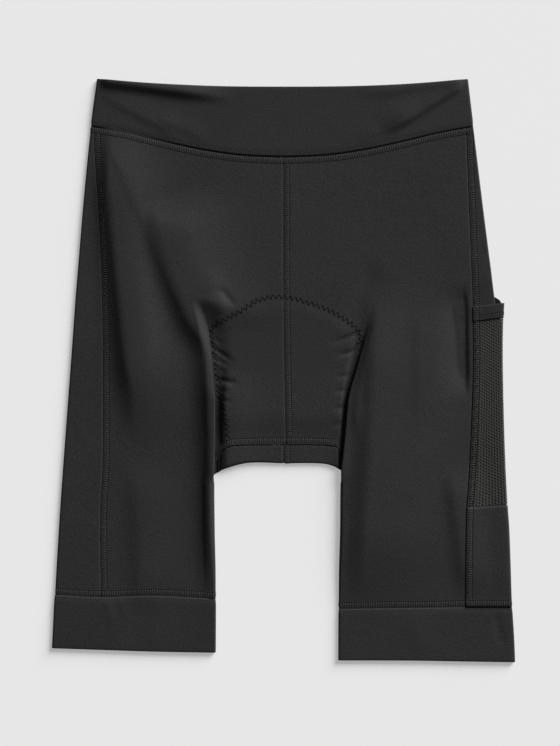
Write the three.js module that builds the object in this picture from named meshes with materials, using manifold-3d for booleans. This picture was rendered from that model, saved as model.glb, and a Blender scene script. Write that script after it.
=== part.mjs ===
// Cycling shorts laid flat with the front up, built as the pieces a maker cuts and sews.
// Millimetres, +Z up, waist towards +Y. The origin lies on the surface under the middle of the garment.
// Left and right are as seen from above, and "out" is a distance from the centre line towards either side.
// Every piece is a wall of cloth: a grid of points on the cloth's middle, thickened to both sides. The back
// lies flat on the surface, the front lies on the back, and the sides turn over in round folds.
import * as THREE from "three";
import { mergeVertices } from "three/addons/utils/BufferGeometryUtils.js";
import Module from "manifold-3d";

// Driving sizes
const cloth = 1.0; // wall of a single knit layer
const bandCloth = 1.6; // wall of the doubled waistband, with its elastic
const cuffCloth = 1.6; // wall of a doubled cuff
const bindingCloth = 1.2; // wall of the pocket's bound mouth
const seamGap = 0.3; // between the pieces that a seam joins
const layerGap = 0.4; // between cloth that lies on cloth

// The top edge, which dips at the centre
const waistTop = { y: 265.1, rise: 7.4, halfWidth: 174, power: 2.6 };
const frontRest = 3.2; // height of the front cloth's middle where no fold lifts it
const bandRest = 3.6; // the same on the waistband
const cuffRest = 3.4; // the same on the cuffs

// The inner folds of the legs, and the tuck where each leg lies over the crotch: three layers of cloth
const tuckReach = 8; // half the width of cloth that the tuck shapes
const tuckLap = 1.8; // half the flat width of its middle layer
const tuckTurn = (cloth + layerGap + 0.05) / 2; // radius of its two turns
const tuckColumns = { crotch: 1, turn: 3, middle: 1, leg: 2 }; // how finely each stretch of it is divided
const crotchRest = 2; // height of the crotch cloth under a leg's fold
const underLeg = 10; // how far the inseam lies in from a leg's inner fold, on the underside
const crotchSlope = 16; // the width over which the crotch rises from a tuck
// The crotch pad: the top of its arch and how the arch falls away, its foot and half width, and how far it
// lifts the cloth, with the widths of its slopes
const pad = {
  top: 69,
  arch: 0.0068,
  foot: -66,
  halfWidth: 78,
  rise: 1.1,
  topSlope: 12,
  footSlope: 20,
  sideSlope: 14,
};

// The outline: distance out from the centre line to the folds at the sides
const sideFold = [
  { y: 272.5, left: 174.2, right: 172.2 },
  { y: 228, left: 180, right: 177.4 },
  { y: 160, left: 186.8, right: 185.6 },
  { y: 100, left: 191.8, right: 193.2 },
  { y: 66, left: 194.6, right: 196.9 },
  { y: 10, left: 198.6, right: 200 },
  { y: -60, left: 203.8, right: 203.4 },
  { y: -128, left: 208.7, right: 207.6 },
  { y: -170, left: 211.3, right: 209.6 },
  { y: -222, left: 214.2, right: 211.8 },
];
const cuffFold = [
  { y: -208, left: 213.6, right: 213 },
  { y: -222, left: 214.4, right: 213.6 },
  { y: -250, left: 215.7, right: 215.4 },
  { y: -272.5, left: 216.9, right: 216.4 },
];
// The inner folds: beside the crotch first, then down the legs
const innerFold = [
  { y: 229, left: 66, right: 74 },
  { y: 70, left: 76, right: 80 },
  { y: 39, left: 69, right: 75 },
  { y: 10, left: 64.8, right: 68 },
  { y: -20, left: 63.8, right: 61 },
  { y: -60, left: 63.6, right: 57 },
  { y: -97, left: 64.4, right: 53.4 },
  { y: -150, left: 64, right: 52.6 },
  { y: -190, left: 63.2, right: 51.6 },
  { y: -272.5, left: 63.4, right: 51.2 },
];
const sideSeam = [
  { y: 229, left: 176.4, right: 174 },
  { y: 206, left: 175.2, right: 174.2 },
  { y: 131, left: 167.8, right: 175.3 },
  { y: 57, left: 166.2, right: 178 },
  { y: -3, left: 166, right: 177.2 },
  { y: -93, left: 167, right: 175.6 },
  { y: -130, left: 168.6, right: 173.4 },
  { y: -222, left: 169, right: 172.5 },
];
// How fully the tuck is formed down the leg: first the leg's cloth rises, then it laps over the crotch
const tuck = [
  { y: 229, rise: 0, lap: 0 },
  { y: 86, rise: 0, lap: 0 },
  { y: 64, rise: 0.45, lap: 0 },
  { y: 41, rise: 0.9, lap: 0 },
  { y: 17, rise: 1, lap: 0.33 },
  { y: -7, rise: 1, lap: 0.6 },
  { y: -30, rise: 1, lap: 1 },
  { y: -272.5, rise: 1, lap: 1 },
];
// The seam below the waistband, and the cuff seams and hems
const waistSeam = [
  { out: 0, front: 199.6, back: 216 },
  { out: 40, front: 201.5, back: 217.5 },
  { out: 78, front: 207, back: 220.5 },
  { out: 112, front: 214.5, back: 224 },
  { out: 150, front: 223.5, back: 227.5 },
  { out: 181, front: 228.6, back: 228.6 },
];
const cuffEdges = [
  { out: 51, leftSeam: -214.1, rightSeam: -222.6, leftHem: -263.8, rightHem: -270.8 },
  { out: 120, leftSeam: -210.2, rightSeam: -221.6, leftHem: -262.6, rightHem: -271 },
  { out: 170, leftSeam: -211.6, rightSeam: -221, leftHem: -261, rightHem: -271.8 },
  { out: 217, leftSeam: -209.2, rightSeam: -220.4, leftHem: -259.4, rightHem: -272.5 },
];
// The fold under the crotch, seen from above
const crotchFold = [
  { x: -64, y: -97.4 },
  { x: -56, y: -92.6 },
  { x: -33, y: -86.6 },
  { x: 0, y: -86.9 },
  { x: 36, y: -87.2 },
  { x: 48, y: -90.2 },
  { x: 56, y: -95.6 },
];
// The seam that joins the fronts to the backs at the crotch
const crotchSeam = [
  { x: -70, y: -93 },
  { x: -64, y: -88 },
  { x: -58, y: -77 },
  { x: -51, y: -71.2 },
  { x: -38, y: -69.6 },
  { x: 0, y: -69.2 },
  { x: 36, y: -69.6 },
  { x: 48, y: -71 },
  { x: 55, y: -76 },
  { x: 62, y: -84 },
];
// The centre front seam wanders a little to the right at the crotch
const centreSeam = [
  { y: 200, x: 0 },
  { y: 60, x: 0.2 },
  { y: -70, x: 2.3 },
  { y: -90, x: 2.8 },
];

// Soft ridges in the front cloth, and troughs where the rise is negative. Each runs from its first point to
// its second, bowed in the middle, steep on one side and gentle on the other.
const frontFolds = [
  { name: "left side ridge", x0: -158, y0: 190, x1: -140, y1: -90, bow: 10, rise: 2.1, steep: 9, gentle: 30 },
  { name: "left side trough", x0: -169, y0: 150, x1: -160, y1: -60, bow: 4, rise: -1, steep: 9, gentle: 9 },
  { name: "left hip ridge", x0: -128, y0: 160, x1: -70, y1: 10, bow: 3, rise: 2.1, steep: 10, gentle: 42 },
  { name: "left leg ridge", x0: -76, y0: 60, x1: -68, y1: -190, bow: -3, rise: 2.2, steep: 11, gentle: 16 },
  { name: "left thigh dip", x0: -92, y0: 30, x1: -82, y1: -150, bow: 0, rise: -0.7, steep: 13, gentle: 9 },
  { name: "left shin ridge", x0: -132, y0: -120, x1: -124, y1: -226, bow: 0, rise: 0.8, steep: 9, gentle: 26 },
  { name: "right thigh ridge", x0: 84, y0: 60, x1: 62, y1: -190, bow: 2, rise: 2.2, steep: 13, gentle: 34 },
  { name: "right hip dent", x0: 82, y0: 86, x1: 66, y1: 46, bow: 0, rise: -1.1, steep: 6, gentle: 7 },
  { name: "right leg streak", x0: 144, y0: 86, x1: 142, y1: -84, bow: 2, rise: 0.9, steep: 8, gentle: 20 },
  { name: "right seam crease", x0: 170, y0: 98, x1: 170, y1: -18, bow: 0, rise: -1.2, steep: 4, gentle: 4 },
  { name: "right shin ridge", x0: 156, y0: -76, x1: 170, y1: -200, bow: 0, rise: 1.3, steep: 7, gentle: 16 },
];
const bandFolds = [
  { name: "left top roll", x0: -174, y0: 268, x1: -70, y1: 254, bow: -3, rise: -0.9, steep: 5, gentle: 5 },
  { name: "left corner fold", x0: -170, y0: 262, x1: -74, y1: 208, bow: 0, rise: -0.6, steep: 6, gentle: 7 },
  { name: "right corner fold", x0: 170, y0: 264, x1: 106, y1: 222, bow: 0, rise: -0.7, steep: 7, gentle: 6 },
  { name: "right top roll", x0: 172, y0: 268, x1: 90, y1: 255, bow: 3, rise: -0.6, steep: 5, gentle: 5 },
];

// The pocket on the right side: its fold stands out from the side panel at the mouth
const pocketFold = [
  { y: 68, out: 206.6 },
  { y: 50, out: 205.7 },
  { y: 19, out: 205.2 },
  { y: -30, out: 205.9 },
  { y: -80, out: 207.4 },
  { y: -126, out: 209.6 },
  { y: -150, out: 211.2 },
  { y: -222, out: 213.6 },
];
// The pocket's mouth and the top of its plain base, at its front edge, its fold and its back edge
const mouth = { front: 59.5, fold: 63, back: 73 };
const baseTop = { front: -128.2, fold: -125.8, back: -125.8 };
const bindingDepth = 14;
const pocketMargin = 9; // from the side panel's back seam to the pocket's back edge
const pocketRamp = 7; // the width over which the side panel rises from that seam onto the pocket
const mouthRamp = { from: 36, to: 20 }; // above the mouth, where the side panel rises onto the pocket
const pocketRest = { rise: 0.9, over: 30 }; // how much higher the side fold is inside the pocket

// How finely each stretch of a piece is divided
const grid = {
  bodyRows: 11,
  crotchRows: 6,
  legRows: 6,
  crotchColumns: 4,
  legColumns: 7,
  turnColumns: 4,
  sideColumns: 3,
  backColumns: 6,
  bandColumns: 22,
  bandRows: 3,
  cuffColumns: 10,
  cuffRows: 3,
  pocketColumns: 3,
  bindingRows: 2,
  netRows: 8,
  baseRows: 5,
};
// Heights at the inner folds where the rows of a panel change: the last row that ends on the centre seam,
// the last that ends at the crotch, and the first where the leg is a closed tube
const rowChange = { centre: -52, crotch: -95, leg: -105 };

const mix = (a, b, share) => a + (b - a) * share;
const clamp01 = (value) => Math.min(1, Math.max(0, value));
const smooth = (value) => clamp01(value) ** 2 * (3 - 2 * clamp01(value));
const shares = (count) => Array.from({ length: count + 1 }, (_, i) => i / count);
const point = (x, y, z) => new THREE.Vector3(x, y, z);

// The value of one column of a table at a place, on a smooth curve through its rows.
function read(table, key, place, name) {
  const last = table.length - 1;
  const direction = Math.sign(table[last][key] - table[0][key]);
  let next = 1;
  while (next < last && (place - table[next][key]) * direction > 0) next++;
  const slope = (i) => {
    const [before, after] = [table[Math.max(0, i - 1)], table[Math.min(last, i + 1)]];
    return (after[name] - before[name]) / (after[key] - before[key]);
  };
  const [a, b] = [table[next - 1], table[next]];
  const span = b[key] - a[key];
  const t = clamp01((place - a[key]) / span);
  const bend = (slope(next - 1) * (1 - t) - slope(next) * t) * span;
  const straight = mix(a[name], b[name], t);
  return straight + t * (1 - t) * (bend + (2 * t - 1) * (b[name] - a[name]));
}

const left = { name: "left", sign: -1 };
const right = { name: "right", sign: 1 };
const at = (table, side, y) => read(table, "y", y, side.name);

// The waist seam, with backness 0 on the front and 1 on the back.
const waistSeamY = (out, backness) =>
  mix(read(waistSeam, "out", out, "front"), read(waistSeam, "out", out, "back"), backness);
const waistTopY = (x) =>
  waistTop.y + waistTop.rise * (Math.abs(x) / waistTop.halfWidth) ** waistTop.power;
const cuffY = (side, out, edge) => read(cuffEdges, "out", out, side.name + edge);

// The level of a row of a panel at a distance out, with share 0 at the waist seam and 1 at the cuff seam.
const level = (side, out, share, backness = 0) =>
  mix(waistSeamY(out, backness) - seamGap / 2, cuffY(side, out, "Seam") + seamGap / 2, share);

// The rows of the panels, as shares of the way from the waist seam to the cuff seam.
const foldOut = 60; // about where the inner folds are
const seamLevelOut = 170; // about where the side seams are
const edgeLevelOut = 180; // about where the side folds are at the waist
const crotchCrowding = 2.2; // how the rows crowd towards the first one at the crotch, above its seam
function rowShares(side) {
  const [first, last] = [level(side, foldOut, 0), level(side, foldOut, 1)];
  const share = (y) => (first - y) / (first - last);
  const between = (from, to, count, crowding = 1) =>
    shares(count).slice(1).map((s) => mix(from, to, s ** crowding));
  return [
    0,
    ...between(0, share(rowChange.centre), grid.bodyRows),
    ...between(share(rowChange.centre), share(rowChange.crotch), grid.crotchRows, crotchCrowding),
    share(rowChange.leg),
    ...between(share(rowChange.leg), 1, grid.legRows),
  ];
}

// How far one fold lifts the cloth at a point. It fades out over a share of its length at each end.
const foldFade = 0.35;
function foldRise(fold, x, y) {
  const [runX, runY] = [fold.x1 - fold.x0, fold.y1 - fold.y0];
  const length = Math.hypot(runX, runY);
  const along = clamp01(((x - fold.x0) * runX + (y - fold.y0) * runY) / length ** 2);
  const straight = ((y - fold.y0) * runX - (x - fold.x0) * runY) / length;
  const across = straight + fold.bow * 4 * along * (1 - along);
  const width = across < 0 ? fold.steep : fold.gentle;
  const fade = smooth(along / foldFade) * smooth((1 - along) / foldFade);
  return fold.rise * fade * Math.exp(-((across / width) ** 2));
}
const lift = (folds, x, y) => folds.reduce((z, fold) => z + foldRise(fold, x, y), 0);

function padLift(x, y) {
  const belowArch = smooth((pad.top - pad.arch * x * x - y) / pad.topSlope);
  const aboveFoot = smooth((y - pad.foot) / pad.footSlope);
  return pad.rise * belowArch * aboveFoot * smooth((pad.halfWidth - Math.abs(x)) / pad.sideSlope);
}

// Height of the front cloth's middle. It is clear of the back below it, and no ridge is so high that the
// layers part. Inside a side fold it comes down to its height at the fold.
const lowest = cloth + layerGap + cloth / 2;
const highest = 5.3;
const easing = 4.3; // above this height a ridge flattens
const foldEase = { from: 2, over: 20 };
const flattened = (z) => highest - (highest - easing) ** 2 / (highest - easing + z - easing);
function frontHeight(side, out, y) {
  const x = side.sign * out;
  const z = frontRest + lift(frontFolds, x, y) + padLift(x, y);
  const held = Math.max(lowest, z > easing ? flattened(z) : z);
  const overPocket = smooth((mouth.back + mouthRamp.from - y) / pocketRest.over);
  const foldRest = frontRest + (side === right ? pocketRest.rise * overPocket : 0);
  return mix(foldRest, held, smooth((at(sideFold, side, y) - foldEase.from - out) / foldEase.over));
}

// The line of a leg's inner fold, from which the tuck is formed: the middle of its layers.
const foldLine = (side, y) => at(innerFold, side, y) + cloth / 2 + tuckTurn + tuckLap;

// Height of the crotch cloth: low beside the tucks, higher between them.
function crotchHeight(side, out, y) {
  const fromTuck = foldLine(side, y) - tuckReach / 2 - out;
  return mix(crotchRest, frontRest + padLift(out, y), smooth(fromTuck / crotchSlope));
}

// A place in the folded tuck, counted in its columns from the crotch side. "across" is measured from the
// fold's line, and "rise" from the crotch layer.
const tuckStarts = {
  turn: tuckColumns.crotch,
  middle: tuckColumns.crotch + tuckColumns.turn,
  over: tuckColumns.crotch + tuckColumns.turn + tuckColumns.middle,
  leg: tuckColumns.crotch + 2 * tuckColumns.turn + tuckColumns.middle,
};
const tuckEnd = tuckStarts.leg + tuckColumns.leg;
function tuckSection(place) {
  const { turn, middle, over, leg } = tuckStarts;
  if (place < turn) return { across: mix(-tuckReach, tuckLap, place / turn), rise: 0 };
  if (place >= leg) {
    const share = (place - leg) / tuckColumns.leg;
    return { across: mix(-tuckLap, tuckReach, share), rise: 4 * tuckTurn };
  }
  if (place >= middle && place < over) {
    const share = (place - middle) / tuckColumns.middle;
    return { across: mix(tuckLap, -tuckLap, share), rise: 2 * tuckTurn };
  }
  const [start, facing] = place < middle ? [turn, 1] : [over, -1];
  const angle = (Math.PI * (place - start)) / tuckColumns.turn;
  return {
    across: facing * (tuckLap + tuckTurn * Math.sin(angle)),
    rise: (place < middle ? 0 : 2 * tuckTurn) + tuckTurn * (1 - Math.cos(angle)),
  };
}

// How far along the tuck's cloth a place is, as a share of its whole length.
function tuckShare(place) {
  const spots = shares(tuckEnd).map((s) => tuckSection(s * tuckEnd));
  const distance = (a, b) => Math.hypot(a.across - b.across, a.rise - b.rise);
  const steps = spots.slice(1).map((spot, i) => distance(spot, spots[i]));
  const length = (end) => steps.reduce((sum, step, i) => sum + step * clamp01(end - i), 0);
  return length(place) / length(tuckEnd);
}

const tucked = (y, name) => clamp01(read(tuck, "y", y, name));

// A point of the front cloth in the tuck, at a row's share. Before the layers lap, the cloth is a plain ramp.
function tuckedPoint(side, place, rowShare) {
  const foldY = level(side, foldOut, rowShare);
  const line = foldLine(side, foldY);
  const flatOut = line + mix(-tuckReach, tuckReach, tuckShare(place));
  const flatZ = frontHeight(side, flatOut, foldY);
  const folded = tuckSection(place);
  const foldedOut = line + folded.across;
  const toCrest = smooth((place - tuckStarts.leg) / tuckColumns.leg);
  const base = place < tuckStarts.turn ? crotchHeight(side, foldedOut, foldY) : crotchRest;
  const lap = tucked(foldY, "lap");
  const [rampFoot, rampTop] = [tuckShare(tuckStarts.turn), tuckShare(tuckStarts.leg)];
  const ramp = 4 * tuckTurn * clamp01((tuckShare(place) - rampFoot) / (rampTop - rampFoot));
  const crestZ = frontHeight(side, line + tuckReach, foldY);
  const foldedZ = mix(base + mix(ramp, folded.rise, lap), crestZ, toCrest);
  const out = mix(flatOut, foldedOut, lap);
  return point(side.sign * out, level(side, out, rowShare), mix(flatZ, foldedZ, tucked(foldY, "rise")));
}

// A point where the cloth turns over at a fold. Share 0 is on the front, 1 on the back, and "facing" is the
// side of the garment or leg that the fold closes.
function turn(outline, facing, zFront, zBack, wall, share) {
  const radius = (zFront - zBack) / 2;
  const angle = Math.PI * share;
  return {
    across: outline - facing * (wall / 2 + radius * (1 - Math.sin(angle))),
    z: (zFront + zBack) / 2 + radius * Math.cos(angle),
  };
}

// Closes a wall round a grid of points on the cloth's middle. A "ring" joins its last column to its first.
// The wall is measured square to the cloth, and square to "along" too, so that its edges keep their line.
function wallGeometry(rows, thickness, { ring = false, along = "y" } = {}) {
  const [count, columns] = [rows.length, rows[0].length];
  const beyond = (a, b, c) => a.clone().sub(b).multiplyScalar(3).add(c);
  const row = (i, j) => {
    if (i < 0) return beyond(rows[0][j], rows[1][j], rows[2][j]);
    if (i >= count) return beyond(rows[count - 1][j], rows[count - 2][j], rows[count - 3][j]);
    return rows[i][j];
  };
  const spot = (i, j) => {
    if (ring) return row(i, (j + columns) % columns);
    if (j < 0) return beyond(row(i, 0), row(i, 1), row(i, 2));
    if (j < columns) return row(i, j);
    return beyond(row(i, columns - 1), row(i, columns - 2), row(i, columns - 3));
  };
  const outer = [];
  const inner = [];
  for (let i = 0; i < count; i++) {
    for (let j = 0; j < columns; j++) {
      const across = spot(i, j + 1).clone().sub(spot(i, j - 1));
      const normal = spot(i + 1, j).clone().sub(spot(i - 1, j)).cross(across);
      normal[along] = 0;
      normal.setLength(thickness / 2);
      outer.push(rows[i][j].clone().add(normal));
      inner.push(rows[i][j].clone().sub(normal));
    }
  }
  const positions = [];
  const quad = (a, b, c, d) => [a, b, c, a, c, d].forEach((p) => positions.push(p.x, p.y, p.z));
  const index = (i, j) => i * columns + (j % columns);
  const spans = ring ? columns : columns - 1;
  for (let i = 0; i < count - 1; i++) {
    for (let j = 0; j < spans; j++) {
      const [a, b, c, d] = [index(i, j), index(i + 1, j), index(i + 1, j + 1), index(i, j + 1)];
      quad(outer[a], outer[b], outer[c], outer[d]);
      quad(inner[d], inner[c], inner[b], inner[a]);
    }
  }
  for (let j = 0; j < spans; j++) {
    const [a, b] = [index(0, j), index(0, j + 1)];
    const [c, d] = [index(count - 1, j), index(count - 1, j + 1)];
    quad(inner[a], outer[a], outer[b], inner[b]);
    quad(outer[c], inner[c], inner[d], outer[d]);
  }
  for (let i = 0; i < count - 1 && !ring; i++) {
    const [a, b] = [index(i, 0), index(i + 1, 0)];
    const [c, d] = [index(i, columns - 1), index(i + 1, columns - 1)];
    quad(outer[a], inner[a], inner[b], outer[b]);
    quad(inner[c], outer[c], outer[d], inner[d]);
  }
  const geometry = new THREE.BufferGeometry();
  geometry.setAttribute("position", new THREE.Float32BufferAttribute(positions, 3));
  return mergeVertices(geometry, 1e-4);
}
// A row that was made from the centre outwards, from left to right.
const leftToRight = (side, row) => (side.sign > 0 ? row : row.reverse());

const cornerIn = 5.4; // how far in from the fold's line the crotch seam reaches the tuck
const cornerPlace = (tuckStarts.turn * (tuckReach - cornerIn)) / (tuckReach + tuckLap);
const tipPlace = tuckStarts.turn + tuckColumns.turn / 2; // where in the tuck the seam ends, under the leg
const skewFade = 0.5; // over this share of a row that ends in the tuck, the row comes up to its level
const centreOut = (side, y) => side.sign * read(centreSeam, "y", y, "x") + seamGap / 2;

// The place of the crotch seam that a row ends on, measured out from the centre line. Row 0 ends at the
// centre, the last but one where the seam reaches the tuck, and the last at its tip.
function crotchStation(side, row) {
  const line = foldLine(side, level(side, foldOut, rowShares(side)[grid.bodyRows + row]));
  if (row === grid.crotchRows) return line + tuckSection(tipPlace).across;
  return mix(centreOut(side, read(crotchSeam, "x", 0, "y")), line - cornerIn, row / (grid.crotchRows - 1));
}
const crotchSeamY = (side, out) => read(crotchSeam, "x", side.sign * out, "y");

// The inner end of a front panel's row: on the centre seam, then on the crotch seam.
function frontEnd(side, i) {
  const onCentre = i / grid.bodyRows;
  if (onCentre <= 1) {
    const y = mix(level(side, 0, 0), crotchSeamY(side, 0) + seamGap / 2, onCentre);
    return { out: centreOut(side, y), y };
  }
  const out = crotchStation(side, i - grid.bodyRows);
  return { out, y: crotchSeamY(side, out) + seamGap / 2 };
}

// A point of a closed leg's front, from the inseam on the underside round the inner fold to the crest.
function inseamPoint(side, share, rowShare, zUnder) {
  const y = level(side, foldOut, rowShare);
  const outline = at(innerFold, side, y);
  const zTop = frontHeight(side, outline + tuckTurn + tuckLap, y);
  const crest = foldLine(side, y) + tuckReach;
  const [under, over] = [0.5, 0.86]; // the shares where it leaves the underside and reaches the top
  const turning = clamp01((share - under) / (over - under));
  const turned = turn(outline, -1, zTop, zUnder, cloth, 1 - turning);
  const toInseam = clamp01(1 - share / under);
  const toCrest = clamp01((share - over) / (1 - over));
  const out = mix(mix(turned.across, outline + underLeg, toInseam), crest, toCrest);
  const z = mix(turned.z, frontHeight(side, out, y), toCrest);
  return point(side.sign * out, level(side, out, rowShare), z);
}

function frontPanel(side) {
  const { bodyRows, crotchRows, crotchColumns, legColumns } = grid;
  const closedFrom = bodyRows + crotchRows + 1;
  const innerColumns = crotchColumns + tuckEnd;
  const rows = rowShares(side).map((share, i) => {
    const foldY = level(side, foldOut, share);
    const line = foldLine(side, foldY);
    const end = frontEnd(side, Math.min(i, closedFrom - 1));
    const skew = end.y - level(side, end.out, share);
    const zUnder = cloth / 2 + (i === closedFrom ? cloth + layerGap : 0);
    const endsInTuck = [
      { row: closedFrom - 2, from: cornerPlace, to: tuckStarts.turn },
      { row: closedFrom - 1, from: tipPlace, to: tuckStarts.middle },
    ].find(({ row }) => row === i);
    const row = shares(innerColumns).map((s, j) => {
      if (i >= closedFrom) return inseamPoint(side, s, share, zUnder);
      if (endsInTuck) {
        const { from, to } = endsInTuck;
        const ownPlace = mix(from, to, j / (crotchColumns + to));
        const spot = tuckedPoint(side, Math.max(ownPlace, j - crotchColumns), share);
        spot.y += skew * (1 - smooth(s / skewFade));
        return spot;
      }
      if (j >= crotchColumns) return tuckedPoint(side, j - crotchColumns, share);
      const inCrotch = j / crotchColumns;
      const out = mix(end.out, line - tuckReach, inCrotch);
      const y = level(side, out, share) + skew * (1 - inCrotch ** 2);
      const z = mix(frontHeight(side, out, y), crotchHeight(side, out, y), tucked(foldY, "rise"));
      return point(side.sign * out, y, z);
    });
    const seamOut = at(sideSeam, side, level(side, seamLevelOut, share)) - seamGap / 2;
    for (const s of shares(legColumns).slice(1)) {
      const out = mix(line + tuckReach, seamOut, s);
      const y = level(side, out, share);
      row.push(point(side.sign * out, y, frontHeight(side, out, y)));
    }
    return leftToRight(side, row);
  });
  return wallGeometry(rows, cloth);
}

// Height of the back cloth's middle: flat on the surface, but lifted over the pocket's underside.
function backHeight(side, out, y) {
  if (side !== right) return cloth / 2;
  const fromSeam = smooth((out - at(sideSeam, side, y)) / pocketRamp);
  const fromMouth = smooth((mouth.back + mouthRamp.from - y) / (mouthRamp.from - mouthRamp.to));
  return cloth / 2 + (bindingCloth + layerGap) * fromSeam * fromMouth;
}

// A side panel, from its front seam round the side fold to its back seam.
function sidePanel(side) {
  const { turnColumns, sideColumns } = grid;
  const rows = rowShares(side).map((share) => {
    const y = level(side, edgeLevelOut, share);
    const outline = at(sideFold, side, y);
    const seamOut = at(sideSeam, side, level(side, seamLevelOut, share)) + seamGap / 2;
    const zFront = frontHeight(side, outline, y);
    const zBack = backHeight(side, outline, y);
    const start = turn(outline, 1, zFront, zBack, cloth, 0).across;
    const front = shares(sideColumns).slice(0, -1).map((s) => {
      const out = mix(seamOut, start, s);
      return point(side.sign * out, level(side, out, share), frontHeight(side, out, y));
    });
    const turned = shares(turnColumns).map((s) => {
      const spot = turn(outline, 1, zFront, zBack, cloth, s);
      return point(side.sign * spot.across, level(side, spot.across, share, s), spot.z);
    });
    const back = shares(sideColumns).slice(1).map((s) => {
      const out = mix(start, seamOut, s);
      return point(side.sign * out, level(side, out, share, 1), backHeight(side, out, y));
    });
    return leftToRight(side, [...front, ...turned, ...back]);
  });
  return wallGeometry(rows, cloth);
}

// The turn of a back panel under the crotch, at a distance out.
function crotchTurn(side, out) {
  const seamY = crotchSeamY(side, out);
  const zFront = crotchHeight(side, out, seamY);
  const outline = read(crotchFold, "x", side.sign * out, "y");
  return { seamY, zFront, outline, start: outline + cloth / 2 + (zFront - cloth / 2) / 2 };
}

// The flat part of a back panel. Its inner edge is the centre seam, the crotch's fold, then the inseam.
const backSkewFade = 0.62; // over this share of a row, the row comes up to its level
function backFlat(side) {
  const { bodyRows, crotchRows, backColumns } = grid;
  const corner = crotchStation(side, crotchRows - 1);
  const rows = rowShares(side).map((share, i) => {
    const onFold = clamp01((i - bodyRows) / crotchRows);
    const foldAt = mix(seamGap / 2, corner, onFold);
    const foldY = crotchTurn(side, foldAt).start;
    const endY = i <= bodyRows ? mix(level(side, 0, 0, 1), foldY, i / bodyRows) : foldY;
    const inseam = at(innerFold, side, level(side, foldOut, share)) + underLeg + seamGap;
    const closed = i > bodyRows + crotchRows;
    const end = closed ? { out: inseam, y: level(side, inseam, share) } : { out: foldAt, y: endY };
    const seamOut = at(sideSeam, side, level(side, seamLevelOut, share)) - seamGap / 2;
    const skew = end.y - level(side, end.out, share, 1);
    const row = shares(backColumns).map((s) => {
      const out = mix(end.out, seamOut, s);
      const y = level(side, out, share, 1) + skew * (1 - smooth(s / backSkewFade));
      return point(side.sign * out, y, cloth / 2);
    });
    return leftToRight(side, row.reverse());
  });
  return wallGeometry(rows, cloth);
}

// The strip of a back panel that turns up over the crotch and shows below the crotch seam.
const stripOverlap = 5; // how far it starts inside the flat part
function backStrip(side) {
  const { crotchRows, turnColumns } = grid;
  const lines = shares(crotchRows - 1).map((share, row) => {
    const out = row === 0 ? seamGap / 2 : crotchStation(side, row);
    const x = side.sign * out;
    const { seamY, zFront, outline, start } = crotchTurn(side, out);
    const turned = shares(turnColumns).map((s) => {
      const spot = turn(outline, -1, zFront, cloth / 2, cloth, 1 - s);
      return point(x, spot.across, spot.z);
    });
    const top = seamY - seamGap;
    const under = point(x, start + stripOverlap, cloth / 2);
    return [under, ...turned, point(x, mix(start, top, 0.5), zFront), point(x, top, zFront)];
  });
  const rows = lines[0].map((_, i) => leftToRight(side, lines.map((line) => line[i])));
  return wallGeometry(rows.reverse(), cloth, { along: "x" });
}

// A band all round between two folds. Stations 0 to 1 run along the back, 1 to 2 over the left fold, 2 to 3
// along the front and 3 to 4 over the right fold.
function bandPoint(band, station, row) {
  const place = station % 4;
  const stretch = Math.floor(place);
  const share = place - stretch;
  const backness = [1, 1 - share, 0, share][stretch];
  const yAt = (x) => mix(band.top(x), band.bottom(x, backness), row);
  const middleY = mix(band.top(band.middle), band.bottom(band.middle, 0.5), row);
  const folds = { left: band.leftFold(middleY), right: band.rightFold(middleY) };
  const zBack = band.wall / 2;
  const start = (x, facing) => turn(x, facing, band.rest, zBack, band.wall, 0).across;
  const [xLeft, xRight] = [start(folds.left, -1), start(folds.right, 1)];
  if (stretch === 0) {
    const x = mix(xRight, xLeft, share);
    return point(x, yAt(x), zBack);
  }
  if (stretch === 2) {
    const x = mix(xLeft, xRight, share);
    const nearFold = smooth(Math.min(x - xLeft, xRight - x) / foldEase.over);
    return point(x, yAt(x), band.rest + nearFold * lift(band.folds, x, yAt(x)));
  }
  const [outline, facing] = stretch === 1 ? [folds.left, -1] : [folds.right, 1];
  const spot = turn(outline, facing, band.rest, zBack, band.wall, backness);
  return point(spot.across, yAt(spot.across), spot.z);
}

const waistband = {
  wall: bandCloth,
  rest: bandRest,
  folds: bandFolds,
  middle: 176,
  top: waistTopY,
  bottom: (x, backness) => waistSeamY(Math.abs(x), backness) + seamGap / 2,
  leftFold: (y) => -at(sideFold, left, y),
  rightFold: (y) => at(sideFold, right, y),
};
const sideSeamShare = 0.05; // half the gap at a side seam, as a share of the way over the fold

// Half of the waistband, from one side seam to the other.
function waistbandHalf(from) {
  const { bandColumns, bandRows, turnColumns } = grid;
  const stations = [
    ...shares(turnColumns).slice(0, -1).map((s) => mix(from + 0.5 + sideSeamShare, from + 1, s)),
    ...shares(bandColumns).slice(0, -1).map((s) => from + 1 + s),
    ...shares(turnColumns).map((s) => mix(from + 2, from + 2.5 - sideSeamShare, s)),
  ];
  const rows = shares(bandRows).map((row) => stations.map((station) => bandPoint(waistband, station, row)));
  return wallGeometry(rows, bandCloth);
}

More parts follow.
